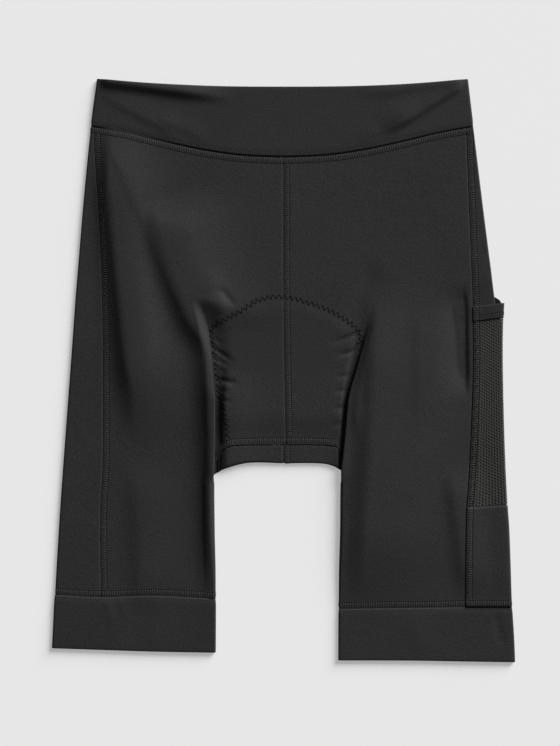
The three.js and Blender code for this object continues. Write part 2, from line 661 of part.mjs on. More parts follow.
function cuff(side) {
  const [inner, outer] = [(y) => at(innerFold, side, y), (y) => at(cuffFold, side, y)];
  const band = {
    wall: cuffCloth,
    rest: cuffRest,
    folds: [],
    middle: 140,
    top: (x) => cuffY(side, Math.abs(x), "Seam") - seamGap / 2,
    bottom: (x) => cuffY(side, Math.abs(x), "Hem"),
    leftFold: side === left ? (y) => -outer(y) : inner,
    rightFold: side === left ? (y) => -inner(y) : outer,
  };
  const { cuffColumns, cuffRows, turnColumns } = grid;
  const stations = [cuffColumns, turnColumns, cuffColumns, turnColumns].flatMap((count, i) =>
    shares(count).slice(0, -1).map((s) => i + s),
  );
  const rows = shares(cuffRows).map((row) => stations.map((station) => bandPoint(band, station, row)));
  return wallGeometry(rows, cuffCloth, { ring: true });
}

// A piece of the pocket between two edges, from its front edge round the pocket's fold to its back edge.
// Place 0 is the front edge, 0.5 the fold and 1 the back edge.
const edgeAt = (edge, place) =>
  place < 0.5 ? mix(edge.front, edge.fold, place * 2) : mix(edge.fold, edge.back, place * 2 - 1);
function pocketPiece(topEdge, bottomEdge, rowCount, wall) {
  const { pocketColumns, turnColumns } = grid;
  const above = cloth / 2 + layerGap + wall / 2; // from the side panel's middle to the pocket's
  const rows = shares(rowCount).map((share) => {
    const yAt = (place) => mix(topEdge(place), bottomEdge(place), share);
    const y = yAt(0.5);
    const outline = read(pocketFold, "y", y, "out");
    const zBack = wall / 2;
    const zFront = frontHeight(right, at(sideFold, right, y), y) + above;
    const start = turn(outline, 1, zFront, zBack, wall, 0).across;
    const front = shares(pocketColumns).slice(0, -1).map((s) => {
      const out = mix(at(sideSeam, right, y) + seamGap, start, s);
      return point(out, yAt(s / 2), frontHeight(right, out, yAt(s / 2)) + above);
    });
    const turned = shares(turnColumns).map((s) => {
      const spot = turn(outline, 1, zFront, zBack, wall, s);
      return point(spot.across, y, spot.z);
    });
    const back = shares(pocketColumns).slice(1).map((s) => {
      const out = mix(start, at(sideSeam, right, y) + pocketMargin, s);
      return point(out, yAt(0.5 + s / 2), zBack);
    });
    return [...front, ...turned, ...back];
  });
  return wallGeometry(rows, wall);
}
const cuffClearance = 1.3; // from the right cuff's seam to the foot of the pocket
const mouthEdge = (place) => edgeAt(mouth, place);
const bindingEdge = (place) => mouthEdge(place) - bindingDepth;
const netEdge = (place) => edgeAt(baseTop, place);
const footEdge = () => cuffY(right, seamLevelOut, "Seam") + cuffClearance;

const wasm = await Module();
wasm.setup();

// Joins two closed walls of one piece.
function join(first, second) {
  const solid = (geometry) =>
    new wasm.Manifold(
      new wasm.Mesh({
        numProp: 3,
        vertProperties: new Float32Array(geometry.getAttribute("position").array),
        triVerts: new Uint32Array(geometry.index.array),
      }),
    );
  const mesh = solid(first).add(solid(second)).getMesh();
  const geometry = new THREE.BufferGeometry();
  geometry.setAttribute("position", new THREE.BufferAttribute(mesh.vertProperties, 3));
  geometry.setIndex(new THREE.BufferAttribute(mesh.triVerts, 1));
  return geometry;
}

// Cloth colours: one charcoal knit for the whole garment, and a slightly greyer net
const knit = new THREE.MeshStandardMaterial({ color: 0x2d2b2b, roughness: 0.85, metalness: 0 });
const net = new THREE.MeshStandardMaterial({ color: 0x333432, roughness: 0.9, metalness: 0 });

const shorts = new THREE.Group();
function sew(name, geometry, material = knit) {
  const mesh = new THREE.Mesh(geometry, material.clone());
  mesh.name = name;
  shorts.add(mesh);
}

sew("waistband_front", waistbandHalf(1));
sew("waistband_back", waistbandHalf(3));
for (const side of [left, right]) {
  sew(`front_${side.name}`, frontPanel(side));
  sew(`side_${side.name}`, sidePanel(side));
  sew(`back_${side.name}`, join(backFlat(side), backStrip(side)));
  sew(`cuff_${side.name}`, cuff(side));
}
const lower = (edge) => (place) => edge(place) - seamGap;
sew("pocket_binding", pocketPiece(mouthEdge, bindingEdge, grid.bindingRows, bindingCloth));
sew("pocket_net", pocketPiece(lower(bindingEdge), netEdge, grid.netRows, cloth), net);
sew("pocket_base", pocketPiece(lower(netEdge), footEdge, grid.baseRows, cloth));

export default shorts;
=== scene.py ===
import bpy
import numpy as np
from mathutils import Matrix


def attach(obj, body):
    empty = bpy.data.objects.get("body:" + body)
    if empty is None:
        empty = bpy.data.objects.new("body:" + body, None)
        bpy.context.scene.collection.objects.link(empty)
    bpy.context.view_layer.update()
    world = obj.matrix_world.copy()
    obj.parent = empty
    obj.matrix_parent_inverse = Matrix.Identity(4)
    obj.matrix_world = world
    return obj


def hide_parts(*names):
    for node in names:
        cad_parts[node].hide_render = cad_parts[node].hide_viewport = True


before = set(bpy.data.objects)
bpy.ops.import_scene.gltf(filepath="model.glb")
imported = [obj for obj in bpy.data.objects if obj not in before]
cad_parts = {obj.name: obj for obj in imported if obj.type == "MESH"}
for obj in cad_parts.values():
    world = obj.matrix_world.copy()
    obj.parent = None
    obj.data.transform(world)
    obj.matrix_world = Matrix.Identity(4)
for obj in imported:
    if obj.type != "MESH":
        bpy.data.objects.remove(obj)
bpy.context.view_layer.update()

# Back panels: two pieces of charcoal knit that lie flat under everything else. They are sewn together down
# the centre, to the side panels, and to the fronts along the inseam. At the crotch they turn up over the
# edge and show from the front as a short strip, which the crotch seam joins to the fronts.
mm = 0.001
cloth = 0.72  # thickness of one layer of knit
back_rest = 0.58  # height of the middle of the cloth that lies on the surface
front_rest = 3.2  # the same for the front where no fold lifts it
seam_gap = 0.04

inner_fold = {
    "y": [229, 70, 39, 10, -20, -60, -97, -150, -190, -272.5],
    "left": [66, 76, 69, 64.8, 63.8, 63.6, 64.4, 64, 63.2, 63.4],
    "right": [74, 80, 75, 68, 61, 57, 53.4, 52.6, 51.6, 51.2],
}
side_seam = {
    "y": [229, 206, 131, 57, -3, -93, -130, -222],
    "left": [177, 176.4, 171.6, 169, 168.6, 168.9, 171, 170.2],
    "right": [170.8, 171.4, 174.2, 177, 177.2, 173.6, 171, 170],
}
waist_seam = {
    "out": [0, 40, 78, 112, 150, 181],
    "front": [199.6, 201.5, 207, 214.5, 223.5, 228.6],
    "back": [216, 217.5, 220.5, 224, 227.5, 228.6],
}
cuff_edges = {
    "out": [51, 120, 170, 217],
    "left seam": [-214.1, -210.2, -211.6, -209.2],
    "right seam": [-222.6, -221.6, -221, -220.4],
    "left hem": [-263.8, -262.6, -261, -259.4],
    "right hem": [-270.8, -271, -271.8, -272.5],
}
crotch_fold = {
    "x": [-64, -56, -33, 0, 36, 48, 56],
    "y": [-97.4, -92.6, -86.6, -86.9, -87.2, -90.2, -95.6],
}
crotch_seam = {
    "x": [-70, -64, -58, -51, -38, 0, 36, 48, 55, 62],
    "y": [-93, -88, -77, -71.2, -69.6, -69.2, -69.6, -71, -76, -84],
}
crotch_rest = {
    "y": [229, 10, -25, -60, -97],
    "left": [2, 2, 1.6, 1.35, 1.35],
    "right": [2, 1.7, 1.4, 1.35, 1.35],
}
centre_seam = {"y": [200, 60, -70, -90], "x": [0, 0.2, 2.3, 2.8]}
side_sign = {"left": -1, "right": 1}


def mix(a, b, share):
    """The value a share of the way from a to b."""
    return a + (b - a) * share


def smooth(value):
    """A value held between 0 and 1, eased at both ends."""
    held = np.clip(value, 0, 1)
    return held * held * (3 - 2 * held)


def through(keys, values, places):
    """Values on a smooth curve through the given ones: a cubic in each span, whose slope at a key is that
    of the straight line between the keys before and after it. The values may be whole rows of points."""
    keys, values, places = (np.asarray(a, float) for a in (keys, values, places))
    if keys[0] > keys[-1]:
        keys, values = keys[::-1], values[::-1]
    last = len(keys) - 1
    spread = (slice(None),) + (None,) * (values.ndim - 1)
    before = np.maximum(np.arange(last + 1) - 1, 0)
    after = np.minimum(np.arange(last + 1) + 1, last)
    slope = (values[after] - values[before]) / (keys[after] - keys[before])[spread]
    i = np.clip(np.searchsorted(keys, places), 1, last)
    widen = places.shape + (1,) * (values.ndim - 1)
    span = (keys[i] - keys[i - 1]).reshape(widen)
    t = np.clip((places - keys[i - 1]).reshape(widen) / span, 0, 1)
    a, b = values[i - 1], values[i]
    bend = (slope[i - 1] * (1 - t) - slope[i] * t) * span
    return mix(a, b, t) + t * (1 - t) * (bend + (2 * t - 1) * (b - a))


def at(table, side, y):
    """The column of a table for one side, at a height."""
    return through(table["y"], table[side], y)


def level(side, out, share, backness=0.0):
    """Height of a panel's row at a distance out: along the waist seam at share 0, the cuff seam at 1."""
    front = through(waist_seam["out"], waist_seam["front"], out)
    back = through(waist_seam["out"], waist_seam["back"], out)
    cuff = through(cuff_edges["out"], cuff_edges[side + " seam"], out)
    return mix(mix(front, back, backness) - seam_gap / 2, cuff + seam_gap / 2, share)


fold_out, seam_out = 60.0, 170.0  # about where the inner folds and the side seams are
# Heights of the last rows that end on the centre seam and the crotch seam, and of the first on the inseam
row_change = {"centre": -52, "crotch": -95, "leg": -105}
body_rows, crotch_rows, leg_rows, crotch_crowding = 154, 6, 66, 2.2
crotch_detail = 4  # rows of the mesh for each row that is worked out at the crotch


def row_shares(side):
    """Shares of a panel's rows from the waist seam to the cuff seam. At the crotch they crowd upwards."""
    first, last = level(side, fold_out, 0.0), level(side, fold_out, 1.0)
    centre, crotch, leg = [(first - y) / (first - last) for y in row_change.values()]
    crowded = (np.arange(1, crotch_rows + 1) / crotch_rows) ** crotch_crowding
    return np.concatenate([
        np.linspace(0, centre, body_rows + 1),
        mix(centre, crotch, crowded),
        np.linspace(leg, 1, leg_rows + 1),
    ])


def finer(rows):
    """The same rows with more of them between those at the crotch, evenly over each span."""
    first = body_rows
    last = body_rows + crotch_rows + 1
    spans = [np.linspace(rows[i], rows[i + 1], crotch_detail, endpoint=False) for i in range(first, last)]
    return np.concatenate([rows[:first], *spans, rows[last:]])


# The tuck where a leg's front folds over the crotch in three layers: how far it and its turns reach from
# its line, the radius of the turns, and the places along it where its stretches meet
tuck_reach, tuck_lap, tuck_turn = 8.0, 1.8, 0.725
tuck_start, tuck_middle, tuck_over, tuck_leg, tuck_end = 1, 4, 5, 8, 10
crotch_slope = {
    "y": [229, 40, 0, -30, -60, -97],
    "left": [18, 17, 12, 7, 5, 5],
    "right": [20, 10, 5, 3.5, 3.5, 3.5],
}
slot_reach = 5.6  # how far in from the tuck's line the cloth beside it stays low
fold_half = 0.5  # from the outline of a fold to the middle of its cloth
pad = {"top": 69, "arch": 0.0068, "foot": -66, "half": 78}
pad_rise = {"y": [69, 30, -30, -66], "rise": [0.5, 0.5, 1.4, 1.4]}
pad_slopes = {"top": 13, "foot": 26, "side": 14}


def pad_lift(x, y):
    """How far the crotch pad lifts the cloth: a plateau under an arch, with soft slopes on every side."""
    below_arch = smooth((pad["top"] - pad["arch"] * x * x - y) / pad_slopes["top"])
    above_foot = smooth((y - pad["foot"]) / pad_slopes["foot"])
    within = smooth((pad["half"] - np.abs(x)) / pad_slopes["side"])
    return through(pad_rise["y"], pad_rise["rise"], y) * below_arch * above_foot * within


# Puckers where the pad's stitching draws the crotch cloth in: start and end, rise and half width of each
puckers = {
    "left first": (-65, 30, -56, 24, -0.9, 1.4),
    "left upper": (-66, 21, -44, 6, -1.9, 1.7),
    "left second": (-66, 12, -47, 3, -1.5, 1.6),
    "left small": (-62, 1, -52, -2, -0.9, 1.4),
    "left strong": (-61, -9, -41, -12, -2.1, 1.8),
    "left fourth": (-60, -19, -48, -19, -1.0, 1.5),
    "left fifth": (-58, -28, -46, -29, -0.9, 1.5),
    "right upper": (67, 34, 42, 23, -1.4, 1.8),
    "right second": (67, 19, 48, 12, -1.6, 1.6),
    "right third": (62, -4, 47, -7, -1.0, 1.6),
    "right fourth": (59, -18, 46, -21, -1.1, 1.6),
    "right fifth": (57, -33, 45, -38, -1.0, 1.7),
    "right sixth": (55, -48, 45, -54, -0.9, 1.7),
}


# Shares of a pucker's length: where it starts, over what it deepens, where it ends, over what it fades
pucker_from, pucker_deepens, pucker_to, pucker_fades = -0.25, 0.3, 1.05, 0.8
pucker_widens = 0.8


def pucker_lift(x, y):
    """Narrow troughs in the crotch cloth: a bell across each line, deepest near its start."""
    total = np.zeros(np.broadcast(x, y).shape)
    for x0, y0, x1, y1, rise, width in puckers.values():
        run = np.array([x1 - x0, y1 - y0])
        length = np.hypot(*run)
        along = ((x - x0) * run[0] + (y - y0) * run[1]) / length**2
        across = ((y - y0) * run[0] - (x - x0) * run[1]) / length
        fade = smooth((along - pucker_from) / pucker_deepens) * smooth((pucker_to - along) / pucker_fades)
        widened = width * (1 + pucker_widens * np.clip(along, 0, 1))
        total = total + rise * fade * np.exp(-((across / widened) ** 2))
    return total


fold_fade = 0.28  # share of a fold's length over which it fades at each end


def folds_lift(folds, x, y):
    """Ridges and troughs: across each line a bell, steep on one side, which fades to the line's ends."""
    total = np.zeros(np.broadcast(x, y).shape)
    for x0, y0, x1, y1, bow, rise, steep, gentle in folds.values():
        length = np.hypot(x1 - x0, y1 - y0)
        along = np.clip(((x - x0) * (x1 - x0) + (y - y0) * (y1 - y0)) / length**2, 0, 1)
        straight = ((y - y0) * (x1 - x0) - (x - x0) * (y1 - y0)) / length
        across = straight + bow * 4 * along * (1 - along)
        width = np.where(across < 0, steep, gentle)
        fade = smooth(along / fold_fade) * smooth((1 - along) / fold_fade)
        total = total + rise * fade * np.exp(-((across / width) ** 2))
    return total


# A fold's start and end, its bow, its rise, and its width on the steep and on the gentle side
crotch_folds = {"left slot edge": (-55, 4, -50, -120, 0, 2.4, 5, 24)}
under_tuck = 0.4  # share of a pucker's depth that is left beside the tuck


def fold_line(side, y):
    """The line from which a leg's tuck is formed: the middle of its layers."""
    return at(inner_fold, side, y) + fold_half + tuck_turn + tuck_lap


def crotch_height(side, out, y):
    """Height of the crotch cloth's middle: low beside the tucks, higher over the pad between them."""
    x = side_sign[side] * out
    from_tuck = fold_line(side, y) - slot_reach - out
    over_pad = front_rest + pad_lift(x, y) + folds_lift(crotch_folds, x, y)
    above = smooth(from_tuck / at(crotch_slope, side, y))
    return mix(at(crotch_rest, side, y), over_pad, above) + pucker_lift(x, y) * mix(under_tuck, 1, above)


def tuck_section(place):
    """Across and rise of a place in the tuck: flat, a half turn, back, a half turn, and flat again."""
    place = np.asarray(place, float)
    lower = np.pi * (place - tuck_start) / (tuck_middle - tuck_start)
    upper = np.pi * (place - tuck_over) / (tuck_leg - tuck_over)
    stretches = [place < tuck_start, place < tuck_middle, place < tuck_over, place < tuck_leg]
    across = np.select(stretches, [
        mix(-tuck_reach, tuck_lap, place / tuck_start),
        tuck_lap + tuck_turn * np.sin(lower),
        mix(tuck_lap, -tuck_lap, place - tuck_middle),
        -tuck_lap - tuck_turn * np.sin(upper),
    ], mix(-tuck_lap, tuck_reach, (place - tuck_leg) / (tuck_end - tuck_leg)))
    rise = np.select(stretches, [
        0 * place,
        tuck_turn * (1 - np.cos(lower)),
        0 * place + 2 * tuck_turn,
        2 * tuck_turn + tuck_turn * (1 - np.cos(upper)),
    ], 4 * tuck_turn)
    return across, rise


corner_in = 5.4  # how far in from the fold's line the crotch seam reaches the tuck
corner_place = tuck_start * (tuck_reach - corner_in) / (tuck_reach + tuck_lap)
tip_place = tuck_start + 1.5  # where in the tuck the seam ends, under the leg


def crotch_station(side, row):
    """Distance out of the crotch seam where a row ends on it: row 0 at the centre, the last at the tuck."""
    line = fold_line(side, level(side, fold_out, row_shares(side)[body_rows + row]))
    centre = side_sign[side] * through(centre_seam["y"], centre_seam["x"], crotch_y(side, 0.0)) + seam_gap / 2
    tip = line + tuck_section(tip_place)[0]
    return np.where(row == crotch_rows, tip, mix(centre, line - corner_in, row / (crotch_rows - 1)))


def crotch_y(side, out):
    """Height of the crotch seam at a distance out."""
    return through(crotch_seam["x"], crotch_seam["y"], side_sign[side] * np.asarray(out, float))


def crotch_turn(side, out):
    """A back panel's turn under the crotch: its seam, the front's height there, its outline, its start."""
    seam_y = crotch_y(side, out)
    z_front = crotch_height(side, out, seam_y)
    outline = through(crotch_fold["x"], crotch_fold["y"], side_sign[side] * np.asarray(out, float))
    return seam_y, z_front, outline, outline + fold_half + (z_front - back_rest) / 2


def turned(outline, facing, z_front, z_back, share):
    """A half circle that closes a fold on the side that it faces: share 0 on the front, 1 on the back."""
    radius = (z_front - z_back) / 2
    across = outline - facing * (fold_half + radius * (1 - np.sin(np.pi * share)))
    return across, (z_front + z_back) / 2 + radius * np.cos(np.pi * share)


def points(x, y, z):
    """Three arrays as one grid of points."""
    return np.stack(np.broadcast_arrays(x, y, z), axis=-1).astype(float)


def normals(grid):
    """Unit normals of a grid: the cross product of its steps down the rows and along the columns."""
    down, along = np.gradient(grid, axis=0), np.gradient(grid, axis=1)
    normal = np.cross(down, along)
    return normal / np.linalg.norm(normal, axis=-1, keepdims=True)


roll_depth, roll_width = 0.5, 0.6
roll_steps = np.array([0.3, 0.65])[:, None, None]


def rolled(grid, *edges):
    """Cloth that bends down into its seams. Each edge is an axis and an end: 0 and 0 for the first row, 1
    and -1 for the last column. Two lines are added beside it, and the depth is a bell of the distance
    in."""
    for axis, end in edges:
        lines = np.moveaxis(grid, axis, 0)[:: end or 1]
        lines = np.concatenate([lines[:1], mix(lines[0], lines[1], roll_steps), lines[1:]])
        steps = np.linalg.norm(np.diff(lines, axis=0), axis=2)
        near = np.concatenate([0 * steps[:1], np.cumsum(steps, axis=0)])
        depth = roll_depth * np.exp(-((near / roll_width) ** 2))[:: end or 1]
        grid = np.moveaxis(lines[:: end or 1], 0, axis)
        grid = grid - normals(grid) * np.moveaxis(depth, 0, axis)[..., None]
    return grid


def wall(grid, thickness, ring=False):
    """Points and four-cornered faces of a closed wall: the grid moved out and in by half the thickness, and
    a rim along each open edge. A ring's last column joins its first. Each row may have its own
    thickness."""
    thickness = np.asarray(thickness, float).reshape(-1, 1, 1)
    if ring:
        wrapped = np.concatenate([grid[:, -2:], grid, grid[:, :2]], axis=1)
        normal = normals(wrapped)[:, 2:-2]
    else:
        normal = normals(grid)
    rows, columns = grid.shape[:2]
    count = rows * columns
    index = np.arange(count).reshape(rows, columns)
    if ring:
        index = np.concatenate([index, index[:, :1]], axis=1)
    a, b, c, d = index[:-1, :-1], index[1:, :-1], index[1:, 1:], index[:-1, 1:]
    faces = [np.stack([a, b, c, d], -1), np.stack([d, c, b, a], -1) + count]

    def rim(edge):
        """Faces across the wall along one of its edges."""
        first, second = edge[:-1], edge[1:]
        return np.stack([first + count, first, second, second + count], -1)

    edges = [index[0], index[-1][::-1]]
    if not ring:
        edges += [index[::-1, 0], index[:, -1]]
    faces += [rim(edge) for edge in edges]
    outer, inner = grid + normal * thickness / 2, grid - normal * thickness / 2
    vertices = np.concatenate([outer.reshape(-1, 3), inner.reshape(-1, 3)])
    return vertices, np.concatenate([f.reshape(-1, 4) for f in faces]), outer


def cloth_object(name, walls, material, inside=None, rounded=True):
    """One object from several walls or tubes, each with its points and faces. It rides on the part's body.
    An inside is the material of a wall's inner face. What isn't rounded keeps its flat faces."""
    starts = np.cumsum([0] + [len(v) for v, _ in walls])
    vertices = np.concatenate([v for v, _ in walls])
    faces = np.concatenate([f + start for (_, f), start in zip(walls, starts)])
    mesh = bpy.data.meshes.new(name)
    mesh.vertices.add(len(vertices))
    mesh.vertices.foreach_set("co", (vertices * mm).astype(np.float32).ravel())
    mesh.loops.add(faces.size)
    mesh.loops.foreach_set("vertex_index", faces.astype(np.int32).ravel())
    mesh.polygons.add(len(faces))
    mesh.polygons.foreach_set("loop_start", np.arange(0, faces.size, faces.shape[1], dtype=np.int32))
    mesh.update(calc_edges=True)
    if rounded:
        mesh.shade_smooth()
    else:
        mesh.shade_flat()
    mesh.materials.append(material)
    if inside:
        mesh.materials.append(inside)
        inner = (faces >= len(vertices) // 2).all(axis=1)
        mesh.polygons.foreach_set("material_index", inner.astype(np.int32))
    piece = bpy.data.objects.new(name, mesh)
    bpy.context.scene.collection.objects.link(piece)
    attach(piece, "root")
    return piece


knit_pitches = (2680.0, 3700.0)  # wales and courses in a metre


def knit_group():
    """Shader group of a fine knit: wales and courses as faint crossed waves over the part, with a grain and
    an uneven tone. It gives the colour and the height of the yarns."""
    group = bpy.data.node_groups.new("fine_knit", "ShaderNodeTree")
    for name, kind, value in [
        ("Yarn", "NodeSocketColor", (0.02, 0.02, 0.02, 1)),
        ("Worn yarn", "NodeSocketColor", (0.03, 0.03, 0.03, 1)),
        ("Wales per metre", "NodeSocketFloat", knit_pitches[0]),
        ("Courses per metre", "NodeSocketFloat", knit_pitches[1]),
    ]:
        socket = group.interface.new_socket(name, in_out="INPUT", socket_type=kind)
        socket.default_value = value
    group.interface.new_socket("Colour", in_out="OUTPUT", socket_type="NodeSocketColor")
    group.interface.new_socket("Height", in_out="OUTPUT", socket_type="NodeSocketFloat")
    nodes, link = group.nodes, group.links.new
    inputs, outputs = nodes.new("NodeGroupInput"), nodes.new("NodeGroupOutput")
    split, place = nodes.new("ShaderNodeSeparateXYZ"), nodes.new("ShaderNodeTexCoord")
    link(place.outputs["Object"], split.inputs[0])

    def math(kind, a, b=None):
        """The output of a Math node fed by sockets or numbers."""
        node = nodes.new("ShaderNodeMath")
        node.operation = kind
        for socket, value in zip(node.inputs, (a, b)):
            if isinstance(value, (int, float)):
                socket.default_value = value
            elif value is not None:
                link(value, socket)
        return node.outputs[0]

    def wave(axis, per_metre):
        """The sine of a place's whole turns along an axis."""
        turns = math("MULTIPLY", split.outputs[axis], inputs.outputs[per_metre])
        return math("SINE", math("MULTIPLY", turns, 2 * np.pi))

    wales, courses = wave("X", "Wales per metre"), wave("Y", "Courses per metre")
    noises = {}
    for name, scale, detail in [("grain", 700.0, 3.0), ("tone", 60.0, 3.0), ("cloud", 9.0, 2.0)]:
        noises[name] = nodes.new("ShaderNodeTexNoise")
        noises[name].inputs["Scale"].default_value = scale
        noises[name].inputs["Detail"].default_value = detail
        link(place.outputs["Object"], noises[name].inputs["Vector"])
    grain, tone, cloud = [noises[n].outputs["Fac"] for n in ("grain", "tone", "cloud")]
    yarn_height, tone_height, wale_colour, cloud_colour = 0.04, 0.8, 0.03, 0.5
    grain_contrast, grain_floor = 1.3, 0.4
    yarns = math("MULTIPLY", math("ADD", wales, courses), yarn_height)
    height = math("ADD", math("ADD", yarns, grain), math("MULTIPLY", tone, tone_height))
    link(height, outputs.inputs["Height"])
    blend = nodes.new("ShaderNodeMix")
    blend.data_type = "RGBA"
    grainy = math("SUBTRACT", math("MULTIPLY", grain, grain_contrast), grain_floor)
    patchy = math("ADD", grainy, math("MULTIPLY", cloud, cloud_colour))
    link(math("ADD", patchy, math("MULTIPLY", wales, wale_colour)), blend.inputs["Factor"])
    link(inputs.outputs["Yarn"], blend.inputs[6])
    link(inputs.outputs["Worn yarn"], blend.inputs[7])
    link(blend.outputs[2], outputs.inputs["Colour"])
    return group


fine_knit = knit_group()


def knit_material(name, yarn, worn, roughness=0.72, specular=0.22, pitches=knit_pitches):
    """A matte knit: the fine knit's colour and height on a cloth with a faint sheen. The pitches are its
    wales and courses in a metre."""
    material = bpy.data.materials.new(name)
    material.use_nodes = True
    nodes, link = material.node_tree.nodes, material.node_tree.links.new
    shader = nodes["Principled BSDF"]
    knit, bump = nodes.new("ShaderNodeGroup"), nodes.new("ShaderNodeBump")
    knit.node_tree = fine_knit
    knit.inputs["Yarn"].default_value = (*yarn, 1)
    knit.inputs["Worn yarn"].default_value = (*worn, 1)
    knit.inputs["Wales per metre"].default_value, knit.inputs["Courses per metre"].default_value = pitches
    bump.inputs["Strength"].default_value = 0.85
    bump.inputs["Distance"].default_value = 0.3 * mm
    link(knit.outputs["Colour"], shader.inputs["Base Color"])
    link(knit.outputs["Height"], bump.inputs["Height"])
    link(bump.outputs["Normal"], shader.inputs["Normal"])
    shader.inputs["Roughness"].default_value = roughness
    shader.inputs["Specular IOR Level"].default_value = specular
    shader.inputs["Sheen Weight"].default_value = 0.03
    shader.inputs["Sheen Roughness"].default_value = 0.5
    return material


charcoal = knit_material("charcoal_knit", (0.0068, 0.0063, 0.0062), (0.0232, 0.0216, 0.0214))

under_leg = 10.0  # how far the inseam lies out from a leg's inner fold, on the underside
back_columns, strip_columns, strip_steps = 56, 60, 12
evened_by = 0.62  # share of a row over which its end's offset from the level fades
strip_overlap = 5.0  # how far the strip at the crotch starts inside the flat part
strip_thinner = 0.1  # how much thinner its cloth is, so that it clears the fronts' tucks


def back_flat(side):
    """The flat part of a back panel. Rows run from its inner edge, the centre seam and then the fold under
    the crotch and the inseam, straight out to the side seam."""
    share = row_shares(side)[:, None]
    i = np.arange(len(share))[:, None]
    on_fold = np.clip((i - body_rows) / crotch_rows, 0, 1)
    corner = crotch_station(side, crotch_rows - 1)
    fold_at = mix(seam_gap / 2, corner, on_fold)
    fold_y = crotch_turn(side, fold_at)[3]
    down_centre = mix(level(side, 0.0, 0.0, 1), fold_y, np.clip(i / body_rows, 0, 1))
    inseam = at(inner_fold, side, level(side, fold_out, share)) + under_leg + seam_gap
    closed = i > body_rows + crotch_rows
    end_out = np.where(closed, inseam, fold_at)
    end_y = np.where(closed, level(side, inseam, share), np.where(i <= body_rows, down_centre, fold_y))
    side_end = at(side_seam, side, level(side, seam_out, share)) - seam_gap / 2
    s = np.linspace(1, 0, back_columns + 1)[None, :]
    out = mix(end_out, side_end, s)
    skew = end_y - level(side, end_out, share, 1)
    y = level(side, out, share, 1) + skew * (1 - smooth(s / evened_by))
    grid = points(side_sign[side] * out, y, back_rest)
    grid = through(share[:, 0], grid, finer(share[:, 0]))
    return grid[:, ::-1] if side == "left" else grid


def left_to_right(side, grid):
    """Columns that were made from the centre outwards, from left to right."""
    return grid if side == "right" else grid[:, ::-1]


def back_strip(side):
    """The strip that turns up over the crotch: at each place along it a flat start, a half circle and a
    flat end that reaches the crotch seam."""
    corner = crotch_station(side, crotch_rows - 1)
    out = mix(seam_gap / 2, corner, np.linspace(0, 1, strip_columns + 1))[None, :]
    seam_y, z_front, outline, start = crotch_turn(side, out)
    under = points(side_sign[side] * out, start + strip_overlap, back_rest)
    s = np.linspace(1, 0, strip_steps + 1)[:, None]
    across, z = turned(outline, -1, z_front, back_rest, s)
    over = points(side_sign[side] * out, across, z)
    top = seam_y - seam_gap
    rise = np.linspace(0, 1, strip_steps + 1)[1:, None]
    front = points(side_sign[side] * out, mix(start, top, rise), z_front)
    grid = np.concatenate([under, over, front])[::-1]
    return left_to_right(side, grid)


all_edges = (0, 0), (0, -1), (1, 0), (1, -1)
back_outer, back_under = {}, {}
for side in ("left", "right"):
    centre_edge = (1, 0) if side == "right" else (1, -1)
    flat = rolled(back_flat(side), *all_edges)
    strip = rolled(back_strip(side), (0, 0), centre_edge)
    *flat_wall, back_under[side] = wall(flat, cloth)
    *strip_wall, back_outer[side] = wall(strip, cloth - strip_thinner)
    panel = cloth_object(f"back_{side}_knit", [flat_wall, strip_wall], charcoal)
    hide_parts(f"back_{side}")

# Front panels: one piece of knit for each leg, from waistband to cuff, joined by the centre front seam.
# Each carries the folds that the cloth fell into, and tucks over the crotch at the leg's inner fold.
side_fold = {
    "y": [272.5, 228, 160, 100, 66, 56, 42, 10, -60, -128, -170, -222],
    "left": [174.2, 180, 186.8, 191.8, 194.6, 195.3, 196.3, 198.6, 203.8, 208.7, 211.3, 214.2],
    "right": [172.2, 177.4, 185.6, 193.2, 197.4, 199.4, 203.6, 204.2, 205.8, 208.7, 210.4, 212.2],
}
front_folds = {
    "left side ridge": (-168, 246, -134, -72, 0, 7.6, 12, 34),
    "left upper crease": (-164, 216, -124, 126, 0, 0.7, 5, 30),
    "left hip ridge": (-122, 162, -67, 12, 4, 7.4, 13, 46),
    "left hook": (-84, 69, -54, 75, 0, -0.5, 4, 4),
    "left hook end": (-60, 78, -45, 59, 0, -0.9, 3.4, 3.4),
    "left leg ridge": (-68, 104, -58, -236, 0, 7.0, 13, 12),
    "left shin ridge": (-136, -80, -130, -232, 0, 1.9, 12, 30),
    "right thigh ridge": (92, 84, 74, -232, 0, 4.6, 14, 60),
    "right fold edge": (86, 84, 46, -236, 9, 2.6, 8, 30),
    "right hip dent": (88, 104, 58, 30, 0, -0.9, 9, 14),
    "right leg streak": (129, 66, 127, -56, 0, 0.7, 7, 24),
    "right seam crease": (167.6, 84, 170, -28, 0, -3.0, 15, 2.8),
    "right shin ridge": (157, -84, 173, -216, 0, 2.0, 9, 22),
}
lowest, easing, highest = 1.7, 8.6, 12.0  # a ridge flattens above the easing height, below the highest
fold_margin, fold_ease = 2.0, 20.0  # where the folds end beside the side fold, and over how far
pocket_mouth = {"front": 59.5, "fold": 63, "back": 73}
mouth_from, mouth_to = 36, 20  # above the mouth, where the side panel rises onto the pocket
# How far the pocket's layers lift the right side fold, over what length this eases, and where it ends
pocket_rise, pocket_over, pocket_foot = 0.9, 30.0, -220.0


